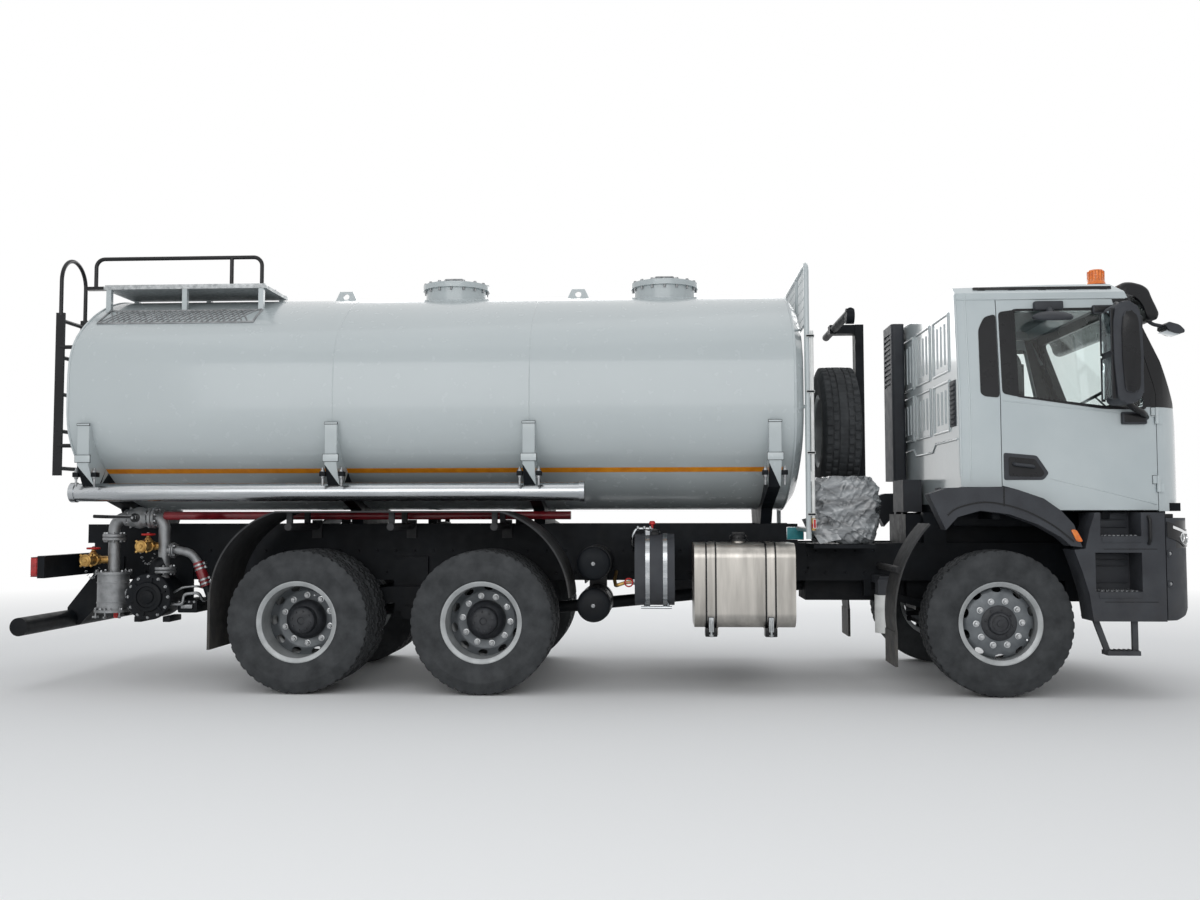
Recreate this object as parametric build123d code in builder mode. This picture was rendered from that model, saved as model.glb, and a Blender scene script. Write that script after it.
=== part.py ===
import os
from math import cos, radians, sin

from build123d import *

os.makedirs("parts", exist_ok=True)

# Rigid water tanker on a 6x4 chassis with a day cab. Millimetres.
# +X is forward, +Y is the left side, +Z is up, and the ground is at Z = 0.

# Wheels and axles along the truck
front_overhang = 1440
wheelbase = 3820
bogie_spread = 1395
rear_overhang = 2229
overall_length = front_overhang + wheelbase + bogie_spread + rear_overhang
front_end = overall_length / 2
rear_end = -overall_length / 2
front_axle_x = front_end - front_overhang
mid_axle_x = front_axle_x - wheelbase
rear_axle_x = mid_axle_x - bogie_spread

# Tyres, rims and hubs
tyre_radius = 538
tyre_width = 315
tread_width = 240
bead_radius = 300
rim_seat_radius = 285
rim_wall = 20
rim_width = 260
rim_flange = 10
rim_sides = 32
front_track = 2045
twin_outer_y = 1087.5
twin_spacing = 351
hand_holes = 10
hand_hole_radius = 32
hand_hole_circle = 206
disc_thickness = 30
hub_radius = 145
spindle_radius = 45
running_gap = 0.3
axle_z = tyre_radius

# Frame
rail_bottom = 810
rail_height = 300
rail_top = rail_bottom + rail_height
rail_y = 425
rail_flange = 80
rail_wall = 10
frame_rear = -4180
frame_front = 4200
subframe_height = 155
subframe_top = rail_top + subframe_height

# Tank barrel
tank_rear = -4025
tank_front = 1532
tank_bottom = 1380
tank_top = 3170
tank_half_width = 1220
crown_radius = 1600
flank_radius = 2600
shoulder_radius = 480
head_depth = 110
tank_mid_z = (tank_bottom + tank_top) / 2
cradle_x = (-3876, -1961, -463, 1368)

# Cab
cab_back = 2737
cab_nose = 4400
cab_floor_z = 1360
cab_wall = 60
cab_half_width = 1150
roof_half_width = 1060
belt_z = 2200
roof_joint_z = 2950
roof_z = 3090
door_rear = 3039
door_front = 4160
door_gap = 6
pivot_x = 4330
pivot_z = 1050
body_half_width = 1245


def save(piece, name):
    piece.part.label = name
    export_step(piece.part, f"parts/{name}.step")


def block(x, y, z, mode=Mode.ADD):
    with Locations(((x[0] + x[1]) / 2, (y[0] + y[1]) / 2, (z[0] + z[1]) / 2)):
        Box(x[1] - x[0], y[1] - y[0], z[1] - z[0], mode=mode)


def rod(start, end, radius, mode=Mode.ADD):
    axis = Vector(*end) - Vector(*start)
    with Locations(Plane(origin=start, z_dir=axis)):
        Cylinder(radius, axis.length, align=(Align.CENTER, Align.CENTER, Align.MIN), mode=mode)


def side_slab(points, y, corner=0):
    with BuildPart() as slab:
        with BuildSketch(Plane.XZ.offset(-y[1])) as outline:
            with BuildLine():
                Polyline(*points, close=True)
            make_face()
            if corner:
                fillet(outline.vertices(), corner)
        extrude(amount=y[1] - y[0])
    return slab.part


def end_slab(points, x, corner=0):
    with BuildPart() as slab:
        with BuildSketch(Plane.YZ.offset(x[0])) as outline:
            with BuildLine():
                Polyline(*points, close=True)
            make_face()
            if corner:
                fillet(outline.vertices(), corner)
        extrude(amount=x[1] - x[0])
    return slab.part


def wheel_disc(y, radius, sides=rim_sides):
    with BuildPart() as disc:
        with BuildSketch(Plane.XZ.offset(-y[1])):
            RegularPolygon(radius, sides, major_radius=False, rotation=180 / sides)
        extrude(amount=y[1] - y[0])
    return disc.part


# One tyre and one rim of each kind, drawn at the origin with the axle along Y
tyre_half = tyre_width / 2
tyre_profile = (
    (-rim_width / 2, bead_radius),
    (-tyre_half, (bead_radius + tyre_radius) / 2),
    (-tread_width / 2 - 15, tyre_radius - 18),
    (-tread_width / 2, tyre_radius),
)
with BuildPart() as casing:
    for shift, radius in tyre_profile + tuple((-y, r) for y, r in reversed(tyre_profile)):
        with BuildSketch(Plane.XZ.offset(-shift)):
            RegularPolygon(radius, rim_sides, major_radius=False, rotation=180 / rim_sides)
    loft(ruled=True)
    add(wheel_disc((-tyre_half, tyre_half), rim_seat_radius), mode=Mode.SUBTRACT)

front_y = front_track / 2
twin_inner_y = twin_outer_y - twin_spacing
rim_half = rim_width / 2 + rim_flange
front_disc_y = front_y + 75
twin_disc_y = (twin_outer_y + twin_inner_y) / 2
front_hub = (front_y - 62, front_disc_y + 60)
twin_hub = (twin_disc_y - 205, twin_disc_y + 205)
spindle_reach = 150


def rim(tyre_ys, disc_y, hub=None):
    inner = min(tyre_ys) - rim_half
    outer = max(tyre_ys) + rim_half
    disc = (disc_y - disc_thickness / 2, disc_y + disc_thickness / 2)
    with BuildPart() as wheel:
        add(wheel_disc((inner, outer), rim_seat_radius))
        for y in tyre_ys:
            for edge in (y - rim_half, y + rim_half - rim_flange):
                add(wheel_disc((edge, edge + rim_flange), bead_radius))
        for hollow in ((inner, disc[0]), (disc[1], outer)):
            add(wheel_disc(hollow, rim_seat_radius - rim_wall), mode=Mode.SUBTRACT)
        with BuildSketch(Plane.XZ.offset(-disc[1])):
            with PolarLocations(hand_hole_circle, hand_holes):
                RegularPolygon(hand_hole_radius, 8)
        extrude(amount=disc_thickness, mode=Mode.SUBTRACT)
        if hub:
            add(wheel_disc((hub[0], disc_y), hub_radius, 24))
            add(wheel_disc((disc_y, hub[1] - 45), hub_radius - 12, 24))
            add(wheel_disc((disc_y, hub[1]), hub_radius - 50, 24))
            rod((0, hub[0], 0), (0, hub[0] + spindle_reach, 0), spindle_radius + running_gap, Mode.SUBTRACT)
        else:
            add(wheel_disc(disc, hub_radius, 24), mode=Mode.SUBTRACT)
    return wheel.part


front_rim = rim((front_y,), front_disc_y, front_hub)
twin_rim = rim((twin_inner_y, twin_outer_y), twin_disc_y, twin_hub)
wheel_sets = (
    ("front", front_axle_x, (front_y,), front_rim),
    ("mid", mid_axle_x, (twin_inner_y, twin_outer_y), twin_rim),
    ("rear", rear_axle_x, (twin_inner_y, twin_outer_y), twin_rim),
)
for place, axle_x, tyre_ys, wheel_rim in wheel_sets:
    for side, turn in (("left", 0), ("right", 180)):
        with BuildPart() as tyres:
            with Locations(*[(axle_x, y * cos(radians(turn)), axle_z) for y in tyre_ys]):
                add(casing.part)
        save(tyres, f"tyre_{place}_{side}")
        with BuildPart() as rims:
            with Locations(Location((axle_x, 0, axle_z), (0, 0, turn))):
                add(wheel_rim)
        save(rims, f"rim_{place}_{side}")

# Front axle beam with a kingpin boss at each end
sides = (-1, 1)
kingpin_y = 840
kingpin_radius = 22
boss_radius = 50
boss_half = 65
lug_clearance = 5
lug_thickness = 40
beam_half = 55
beam_top = axle_z - 28
beam_bottom = beam_top - 110
spring_y = (345, rail_y)
knuckle_half = boss_half + lug_clearance + lug_thickness
beam_end = kingpin_y - 40
beam_outline = [
    (-beam_end, axle_z + 50),
    (-beam_end, axle_z - 50),
    (-560, beam_bottom),
    (560, beam_bottom),
    (beam_end, axle_z - 50),
    (beam_end, axle_z + 50),
    (520, beam_top),
    (-520, beam_top),
]
with BuildPart() as front_axle:
    add(end_slab(beam_outline, (front_axle_x - beam_half, front_axle_x + beam_half)))
    for s in sides:
        low = (front_axle_x, s * kingpin_y, axle_z - boss_half)
        high = (front_axle_x, s * kingpin_y, axle_z + boss_half)
        rod(low, high, boss_radius)
        rod(low, high, kingpin_radius + running_gap, Mode.SUBTRACT)
save(front_axle, "front_axle")

# Knuckles: forked lugs round the boss, kingpin, wheel spindle and steering arm with its ball pin
knuckle_face = kingpin_y + boss_radius + lug_clearance
knuckle_back = knuckle_face + 30
arm_reach = 240
arm_y = kingpin_y
ball_pin_radius = 15
arm_bottom = axle_z - knuckle_half
ball_pin_end = arm_bottom - 50
for name, s in (("knuckle_right", -1), ("knuckle_left", 1)):
    with BuildPart() as knuckle:
        for z in (axle_z + boss_half + lug_clearance, axle_z - knuckle_half):
            lug_y = sorted((s * (kingpin_y - 45), s * knuckle_back))
            block((front_axle_x - 45, front_axle_x + 45), lug_y, (z, z + lug_thickness))
        plate_y = sorted((s * knuckle_face, s * knuckle_back))
        plate_z = (axle_z - knuckle_half, axle_z + knuckle_half)
        block((front_axle_x - 70, front_axle_x + 70), plate_y, plate_z)
        rod((front_axle_x, s * kingpin_y, plate_z[0]), (front_axle_x, s * kingpin_y, plate_z[1]), kingpin_radius)
        spindle_end = front_hub[0] + spindle_reach - 5
        rod((front_axle_x, s * knuckle_face, axle_z), (front_axle_x, s * spindle_end, axle_z), spindle_radius)
        arm_span = sorted((s * (arm_y - 25), s * (arm_y + 25)))
        block((front_axle_x - arm_reach - 20, front_axle_x), arm_span, (arm_bottom, arm_bottom + lug_thickness))
        ball = (front_axle_x - arm_reach, s * arm_y)
        rod((*ball, ball_pin_end), (*ball, arm_bottom), ball_pin_radius)
    save(knuckle, name)

# Tie rod between the two ball pins
eye_radius = 21
eye_half = 16
tie_rod_z = (arm_bottom + ball_pin_end) / 2 - 2
with BuildPart() as tie_rod:
    tie_x = front_axle_x - arm_reach
    rod((tie_x, -arm_y, tie_rod_z), (tie_x, arm_y, tie_rod_z), 14)
    for s in sides:
        rod((tie_x, s * arm_y, tie_rod_z - eye_half), (tie_x, s * arm_y, tie_rod_z + eye_half), eye_radius)
    for s in sides:
        low = (tie_x, s * arm_y, tie_rod_z - eye_half)
        high = (tie_x, s * arm_y, tie_rod_z + eye_half)
        rod(low, high, ball_pin_radius + running_gap, Mode.SUBTRACT)
save(tie_rod, "tie_rod")

# Drive axles: tubes, differential housings, spring pads and wheel spindles
axle_tube_radius = 75
bogie_spring_y = (rail_y + 30, rail_y + 120)
spring_seat_z = axle_z + 95
differential_radius = 195
housing_back = 130
pinion_nose = 260
axle_tube_end = twin_hub[0] - 20
with BuildPart() as rear_axles:
    for x in (mid_axle_x, rear_axle_x):
        rod((x, -axle_tube_end, axle_z), (x, axle_tube_end, axle_z), axle_tube_radius)
        stub = twin_hub[0] + spindle_reach - 5
        rod((x, -stub, axle_z), (x, stub, axle_z), spindle_radius)
        rod((x - housing_back, 0, axle_z), (x + 150, 0, axle_z), differential_radius)
        rod((x, 0, axle_z), (x + pinion_nose, 0, axle_z), 80)
        for s in sides:
            pad_y = sorted(s * y for y in bogie_spring_y)
            block((x - 75, x + 75), pad_y, (axle_z, spring_seat_z))
save(rear_axles, "rear_axles")

# Leaf springs: tapered packs under the frame in front, one pack per side across the bogie behind
bogie_x = (mid_axle_x + rear_axle_x) / 2
front_spring = [
    (front_axle_x - 800, 700),
    (front_axle_x - 800, 740),
    (front_axle_x - 90, beam_top + 80),
    (front_axle_x + 90, beam_top + 80),
    (front_axle_x + 720, 740),
    (front_axle_x + 720, 700),
    (front_axle_x + 90, beam_top),
    (front_axle_x - 90, beam_top),
]
bogie_half = bogie_spread / 2 + 75
bogie_spring = [
    (bogie_x - bogie_half, spring_seat_z),
    (bogie_x - bogie_half, spring_seat_z + 32),
    (bogie_x - 150, spring_seat_z + 130),
    (bogie_x + 150, spring_seat_z + 130),
    (bogie_x + bogie_half, spring_seat_z + 32),
    (bogie_x + bogie_half, spring_seat_z),
]
with BuildPart() as leaf_springs:
    for s in sides:
        add(side_slab(front_spring, sorted(s * y for y in spring_y)))
        add(side_slab(bogie_spring, sorted(s * y for y in bogie_spring_y)))
save(leaf_springs, "leaf_springs")

# Frame rails: channels with their flanges inward and a square of bolt holes in each web
bolt_x = 1650
bolt_z = rail_bottom + rail_height / 2
bolt_spacing = 100
bolt_hole_radius = 8.5
with BuildPart() as frame_rails:
    for s in sides:
        block((frame_rear, frame_front), sorted((s * (rail_y - rail_flange), s * rail_y)), (rail_bottom, rail_top))
        hollow_y = sorted((s * (rail_y - rail_flange), s * (rail_y - rail_wall)))
        hollow_z = (rail_bottom + rail_wall, rail_top - rail_wall)
        block((frame_rear, frame_front), hollow_y, hollow_z, Mode.SUBTRACT)
    with BuildSketch(Plane.XZ.offset(-rail_y)):
        with Locations((bolt_x, bolt_z)):
            with GridLocations(bolt_spacing, bolt_spacing, 2, 2):
                Circle(bolt_hole_radius)
    extrude(amount=2 * rail_y, mode=Mode.SUBTRACT)
save(frame_rails, "frame_rails")

# Brackets bolted to the rails: cross members, spring hangers, bogie trunnions, front end, tray and lamp beam
web_inside = rail_y - rail_wall
hanger_x = ((front_axle_x - 860, front_axle_x - 800), (front_axle_x + 720, front_axle_x + 780))
pivot_radius = 18
pivot_bracket_y = (web_inside - 25, web_inside)
bumper_wall = 40
bumper_inside = front_end - bumper_wall
trunnion_z = 555
underrun_half = 1200
lamp_beam_x = (frame_rear - 56, frame_rear)
lamp_z = (860, 1030)
tray_x = (1690, 2160)
tray_y = (-880, -rail_y)
with BuildPart() as frame_brackets:
    for x in (frame_rear + 60, -2900, bogie_x, -50, 1300, 4080):
        block((x - 30, x + 30), (-web_inside, web_inside), (rail_bottom + 40, rail_top - 40))
    for s in sides:
        for x in hanger_x:
            block(x, sorted(s * y for y in spring_y), (690, rail_bottom))
        block((frame_front, bumper_inside), sorted(s * y for y in spring_y), (rail_bottom, rail_bottom + 120))
        bracket_y = sorted(s * y for y in pivot_bracket_y)
        block((4050, pivot_x), bracket_y, (pivot_z - 25, pivot_z + 25))
        rod((pivot_x, bracket_y[0], pivot_z), (pivot_x, bracket_y[1], pivot_z), 25)
        rod((pivot_x, s * pivot_bracket_y[0], pivot_z), (pivot_x, s * (web_inside + 35), pivot_z), pivot_radius)
        block((bogie_x - 140, bogie_x + 140), sorted((s * rail_y, s * bogie_spring_y[0])), (500, 1000))
        saddle_y = sorted(s * y for y in bogie_spring_y)
        block((bogie_x - 110, bogie_x + 110), saddle_y, (spring_seat_z - 70, spring_seat_z))
        rod((bogie_x, s * 380, trunnion_z), (bogie_x, s * 570, trunnion_z), 55)
        block((2620, 2800), sorted(s * y for y in spring_y), (rail_top, cab_floor_z - 6))
    block(lamp_beam_x, (-underrun_half, underrun_half), lamp_z)
    block(tray_x, tray_y, (rail_top - 30, rail_top))
    block(tray_x, (-rail_y - 8, -rail_y), (rail_top - 70, rail_top))
save(frame_brackets, "frame_brackets")

# Subframe ends
subframe_rear = -4236
subframe_front = 1620

# Engine and gearbox on four feet inside the rails, with the propeller shafts behind them
gearbox_x = (1700, 2500)
engine_x = (2500, 3900)
gearbox_output_z = 760
with BuildPart() as driveline:
    block(engine_x, (-330, 330), (640, 1340))
    block((2600, 3800), (-200, 200), (560, 640))
    block(gearbox_x, (-230, 230), (640, 1080))
    for x in (2750, 3600):
        block((x, x + 100), (-web_inside, web_inside), (850, 910))
    rod((gearbox_x[0] + 20, 0, gearbox_output_z), (mid_axle_x + pinion_nose, 0, axle_z), 50)
    rod((mid_axle_x - housing_back, 0, axle_z), (rear_axle_x + pinion_nose, 0, axle_z), 45)
    add(rear_axles.part, mode=Mode.SUBTRACT)
save(driveline, "driveline")



# Tank barrel: crown, flank and shoulder arcs in section, with shallow dished heads
def tank_section(x, share):
    half_height = share * (tank_top - tank_bottom) / 2
    crown_shift = half_height - share * crown_radius
    flank_shift = share * (tank_half_width - flank_radius)
    with BuildSketch(Plane(origin=(x, 0, tank_mid_z), x_dir=(0, 1, 0), z_dir=(1, 0, 0))) as section:
        with Locations((0, crown_shift)):
            Circle(share * crown_radius)
        with Locations((0, -crown_shift)):
            Circle(share * crown_radius, mode=Mode.INTERSECT)
        for s in sides:
            with Locations((s * flank_shift, 0)):
                Circle(share * flank_radius, mode=Mode.INTERSECT)
        fillet(section.vertices(), share * shoulder_radius)
    return section.sketch


head_steps = ((1.0, 0.0), (0.9, 0.6), (0.5, 1.0))
rear_sections = [tank_section(tank_rear - depth * head_depth, share) for share, depth in reversed(head_steps)]
front_sections = [tank_section(tank_front + depth * head_depth, share) for share, depth in head_steps]
with BuildPart() as tank_shell:
    loft(sections=rear_sections + front_sections, ruled=True)
save(tank_shell, "tank_shell")

# Fittings on the crown: bolted manholes, lifting lugs, and the walkway on short posts
manhole_x = (-1234, 560)
manhole_radius = 285
lug_x = (-2198, -179)
lug_half = 115
lug_height = 105
walk_x = (-3991, -2653)
walk_y = (-750, -200)
walk_z = (3170, 3196)
post_half = 20
with BuildPart() as tank_fittings:
    for x in manhole_x:
        rod((x, 0, tank_top - 60), (x, 0, tank_top + 100), manhole_radius - 25)
        rod((x, 0, tank_top + 90), (x, 0, tank_top + 135), manhole_radius)
    for x in lug_x:
        lug_outline = [
            (x - lug_half, tank_top - 20),
            (x - 55, tank_top + lug_height),
            (x + 55, tank_top + lug_height),
            (x + lug_half, tank_top - 20),
        ]
        add(side_slab(lug_outline, (-12, 12)))
        rod((x, -20, tank_top + 60), (x, 20, tank_top + 60), 26, Mode.SUBTRACT)
    block(walk_x, walk_y, walk_z)
    for x in (walk_x[0] + 40, (walk_x[0] + walk_x[1]) / 2, walk_x[1] - 40):
        for y in (walk_y[0] + 25, walk_y[1] - 25):
            block((x - post_half, x + post_half), (y - post_half, y + post_half), (2850, walk_z[0]))
    add(tank_shell.part, mode=Mode.SUBTRACT)
save(tank_fittings, "tank_fittings")

# Hose carrier tubes along both flanks, with end caps
hose_tube_y = 1100
hose_tube_z = 1516
hose_tube_radius = 70
hose_tube_x = (-4028, -53)
with BuildPart() as hose_tubes:
    for s in sides:
        rod((hose_tube_x[0], s * hose_tube_y, hose_tube_z), (hose_tube_x[1], s * hose_tube_y, hose_tube_z),
            hose_tube_radius)
        for x in (hose_tube_x[0], hose_tube_x[1] - 40):
            rod((x, s * hose_tube_y, hose_tube_z), (x + 40, s * hose_tube_y, hose_tube_z), hose_tube_radius + 7)
save(hose_tubes, "hose_tubes")

# Water line from the pump forward, between the subframe and the mudguards
pump_y = -760
pipe_radius = 45
riser_x = -3440
strainer_x = -3850
line_y = -540
line_z = 1335
line_radius = 33
line_front = -200
with BuildPart() as water_line:
    with BuildLine() as line_path:
        FilletPolyline(
            (riser_x, pump_y, line_z),
            (riser_x + 240, pump_y, line_z),
            (riser_x + 400, line_y, line_z),
            (line_front, line_y, line_z),
            radius=110,
        )
    with BuildSketch(Plane(origin=line_path.line @ 0, z_dir=line_path.line % 0)):
        Circle(line_radius)
    sweep(path=line_path.line)

# Subframe beams on the rails, with cradles up round the lower flanks and the hose tubes let in
cradle_half = 45
rear_guard_top = 1370
flank_pad_z = 2030
pad_out = tank_half_width + 26
cradle_outline = [
    (-pad_out, flank_pad_z),
    (-pad_out, 1720),
    (-1140, 1545),
    (-rail_y - 90, rear_guard_top + 20),
    (-rail_y, subframe_top),
    (rail_y, subframe_top),
    (rail_y + 90, rear_guard_top + 20),
    (1140, 1545),
    (pad_out, 1720),
    (pad_out, flank_pad_z),
]
with BuildPart() as subframe:
    for s in sides:
        beam_y = sorted((s * (rail_y - rail_flange), s * rail_y))
        block((subframe_rear, subframe_front), beam_y, (rail_top, subframe_top))
    for x in cradle_x:
        add(end_slab(cradle_outline, (x - cradle_half, x + cradle_half)))
    add(tank_shell.part, mode=Mode.SUBTRACT)
    add(hose_tubes.part, mode=Mode.SUBTRACT)
    add(water_line.part, mode=Mode.SUBTRACT)
save(subframe, "subframe")

# Rear ladder with a hoop at its head and stays to the tank, and the walkway's handrail
ladder_y = (-770, -380)
ladder_x = (-4365, -4297)
ladder_z = (1660, 2980)
rung_pitch = 300
hoop_radius = (ladder_y[1] - ladder_y[0]) / 2
hoop_top = 3440
hoop_mid_y = sum(ladder_y) / 2
hoop_x = sum(ladder_x) / 2
ladder_tube = 16
rail_top_z = 3425
rail_rear_x = -4067
rail_post_x = -2942
rail_end_x = walk_x[1] - 40
rail_line_y = walk_y[0] + 25
with BuildPart() as ladder_and_rail:
    for y in ladder_y:
        block(ladder_x, (y - 12, y + 12), ladder_z)
        for z in (1900, 2700):
            rod((hoop_x, y, z), (tank_rear + 100, y, z), ladder_tube)
    for step in range(5):
        z = ladder_z[0] + 60 + step * rung_pitch
        rod((hoop_x, ladder_y[0], z), (hoop_x, ladder_y[1], z), ladder_tube)
    with BuildLine(Plane.YZ.offset(hoop_x)) as hoop:
        spring_line = hoop_top - hoop_radius
        left = Line((ladder_y[0], ladder_z[1] - 20), (ladder_y[0], spring_line))
        bow = ThreePointArc(left @ 1, (hoop_mid_y, hoop_top), (ladder_y[1], spring_line))
        Line(bow @ 1, (ladder_y[1], ladder_z[1] - 20))
    with BuildSketch(Plane(origin=hoop.line @ 0, z_dir=hoop.line % 0)):
        Circle(ladder_tube)
    sweep(path=hoop.line)
    with BuildLine(Plane.XZ.offset(-rail_line_y)) as rail_path:
        FilletPolyline(
            (rail_rear_x, walk_z[1]),
            (rail_rear_x, rail_top_z),
            (rail_end_x, rail_top_z),
            (rail_end_x, walk_z[1]),
            radius=70,
        )
    with BuildSketch(Plane(origin=rail_path.line @ 0, z_dir=rail_path.line % 0)):
        Circle(ladder_tube)
    sweep(path=rail_path.line)
    rod((rail_post_x, rail_line_y, walk_z[1]), (rail_post_x, rail_line_y, rail_top_z), ladder_tube)
    block((walk_x[0] - 150, walk_x[0]), (walk_y[0], walk_y[0] + 60), walk_z)
    add(tank_shell.part, mode=Mode.SUBTRACT)
save(ladder_and_rail, "ladder_and_rail")

# Front guard: a tube hoop over the front head, stayed to the tank, with a mesh panel at each shoulder
guard_x = 1625
guard_y = 1100
guard_z = (1155, 3235)
guard_tube = 20
with BuildPart() as front_guard:
    with BuildLine(Plane.YZ.offset(guard_x)) as guard_path:
        FilletPolyline(
            (-guard_y, guard_z[0]),
            (-guard_y, guard_z[1]),
            (guard_y, guard_z[1]),
            (guard_y, guard_z[0]),
            radius=70,
        )
    with BuildSketch(Plane(origin=guard_path.line @ 0, z_dir=guard_path.line % 0)):
        Circle(guard_tube)
    sweep(path=guard_path.line)
    for s in sides:
        rod((guard_x, s * (guard_y - 20), 2150), (tank_front - 80, s * (guard_y - 20), 2150), 14)
        rod((guard_x, s * 500, guard_z[1]), (guard_x, s * 500, 2960), 14)
        rod((guard_x, s * 500, 2960), (tank_front - 80, s * 500, 2960), 14)
        rod((guard_x, s * guard_y, subframe_top - 40), (guard_x, s * 385, subframe_top - 40), guard_tube)
        rod((guard_x, s * 385, subframe_top - 40), (subframe_front - 5, s * 385, subframe_top - 40), guard_tube)
    add(tank_shell.part, mode=Mode.SUBTRACT)
    add(subframe.part, mode=Mode.SUBTRACT)
save(front_guard, "front_guard")

# Pump set at the right rear: strainer pot, riser pipes with a ball valve, and the suction pipe
strainer_z = (572, 891)
strainer_radius = 120
riser_top = line_z - 15
pump_x = riser_x - 60
pump_z = 700
pump_radius = 170
with BuildPart() as pump_pipework:
    with BuildLine(Plane.XZ.offset(-pump_y)) as riser_path:
        FilletPolyline(
            (strainer_x, strainer_z[1] - 20),
            (strainer_x, riser_top),
            (riser_x, riser_top),
            (riser_x, pump_z + pump_radius - 30),
            radius=95,
        )
    with BuildSketch(Plane(origin=riser_path.line @ 0, z_dir=riser_path.line % 0)):
        Circle(pipe_radius)
    sweep(path=riser_path.line)
    rod((strainer_x, pump_y, strainer_z[0]), (strainer_x, pump_y, strainer_z[1]), strainer_radius)
    for z in (strainer_z[0], strainer_z[1] - 20):
        rod((strainer_x, pump_y, z), (strainer_x, pump_y, z + 20), strainer_radius + 20)
    rod((strainer_x, pump_y, 1150), (strainer_x, pump_y, 1180), pipe_radius + 30)
    rod((strainer_x + 130, pump_y, riser_top), (strainer_x + 280, pump_y, riser_top), pipe_radius + 28)
    rod((strainer_x, pump_y, 730), (pump_x, pump_y, pump_z), pipe_radius - 5)
    with Locations(Plane(origin=(pump_x, pump_y, pump_z), z_dir=(0, 1, 0))):
        Cylinder(pump_radius, 260, mode=Mode.SUBTRACT)
save(pump_pipework, "pump_pipework")

with BuildPart() as water_line_end:
    add(water_line.part)
    add(pump_pipework.part, mode=Mode.SUBTRACT)
save(water_line_end, "water_line")

with BuildPart() as pump_unit:
    rod((pump_x, pump_y - 130, pump_z), (pump_x, pump_y + 130, pump_z), pump_radius)
    rod((pump_x, pump_y - 165, pump_z), (pump_x, pump_y - 130, pump_z), pump_radius - 90)
    block((pump_x - 120, pump_x + 120), (pump_y + 100, -rail_y - 25), (pump_z - 60, pump_z + 60))
    block((pump_x - 170, pump_x + 170), (-rail_y - 25, -rail_y), (pump_z - 140, 1000))
save(pump_unit, "pump_unit")

# Brass hose valves with screw caps towards the side and handwheels above
valve_radius = 38
cap_radius = 48
cap_length = 40
valve_reach = 150
with BuildPart() as brass_valves:
    for x, z, pipe_x in ((strainer_x - 140, 985, strainer_x), (riser_x - 105, 1095, riser_x)):
        rod((x, pump_y + 30, z), (x, pump_y - valve_reach, z), valve_radius)
        rod((x, pump_y - valve_reach, z), (x, pump_y - valve_reach - cap_length, z), cap_radius)
        rod((x, pump_y, z), (pipe_x, pump_y, z), valve_radius - 8)
        rod((x, pump_y - 60, z), (x, pump_y - 60, z + 105), 14)
        rod((x, pump_y - 60, z + 85), (x, pump_y - 60, z + 100), 46)
    add(pump_pipework.part, mode=Mode.SUBTRACT)
save(brass_valves, "brass_valves")

# Rear underrun bar on two drop brackets
underrun_radius = 70
underrun_z = 490
underrun_x = rear_end + underrun_radius
drop_outline = [
    (underrun_x - 20, underrun_z - 50),
    (underrun_x - 20, underrun_z + 90),
    (frame_rear, lamp_z[0] - 10),
    (frame_rear, 1000),
    (frame_rear + 260, 1000),
    (frame_rear + 260, rail_bottom + 20),
    (underrun_x + 90, underrun_z - 50),
]
with BuildPart() as underrun_bar:
    rod((underrun_x, -underrun_half, underrun_z), (underrun_x, underrun_half, underrun_z), underrun_radius)
    for s in sides:
        add(side_slab(drop_outline, sorted((s * rail_y, s * (rail_y + 14)))))
save(underrun_bar, "underrun_bar")

# Fuel tank on the right with two straps and their L brackets
fuel_x = (768, 1514)
fuel_y = (-1200, -540)
fuel_z = (500, 1124)
fuel_corner = 110
strap_x = (890, 1330)
strap_width = 56
strap_thickness = 6
fuel_plane = Plane(
    origin=(fuel_x[0], sum(fuel_y) / 2, sum(fuel_z) / 2),
    x_dir=(0, 1, 0),
    z_dir=(1, 0, 0),
)
fuel_width = fuel_y[1] - fuel_y[0]
fuel_height = fuel_z[1] - fuel_z[0]
with BuildPart() as fuel_tank:
    with BuildSketch(fuel_plane):
        RectangleRounded(fuel_width, fuel_height, fuel_corner)
    extrude(amount=fuel_x[1] - fuel_x[0])
    rod((fuel_x[0] + 340, -960, fuel_z[1] - 10), (fuel_x[0] + 340, -960, fuel_z[1] + 45), 48)
    for x in strap_x:
        with BuildSketch(fuel_plane.offset(x - fuel_x[0])):
            band = 2 * strap_thickness
            RectangleRounded(fuel_width + band, fuel_height + band, fuel_corner + strap_thickness)
            RectangleRounded(fuel_width, fuel_height, fuel_corner, mode=Mode.SUBTRACT)
        extrude(amount=strap_width)
        foot_z = (fuel_z[0] - strap_thickness - 55, fuel_z[0] - strap_thickness)
        block((x, x + strap_width), (fuel_y[0] + 130, -rail_y), foot_z)
        block((x, x + strap_width), (fuel_y[1] + strap_thickness, -rail_y), (foot_z[0], rail_top - 40))
save(fuel_tank, "fuel_tank")

intake_x = (2600, 2715)
intake_y = (620, 1020)
intake_z = (1640, 3050)

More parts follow.
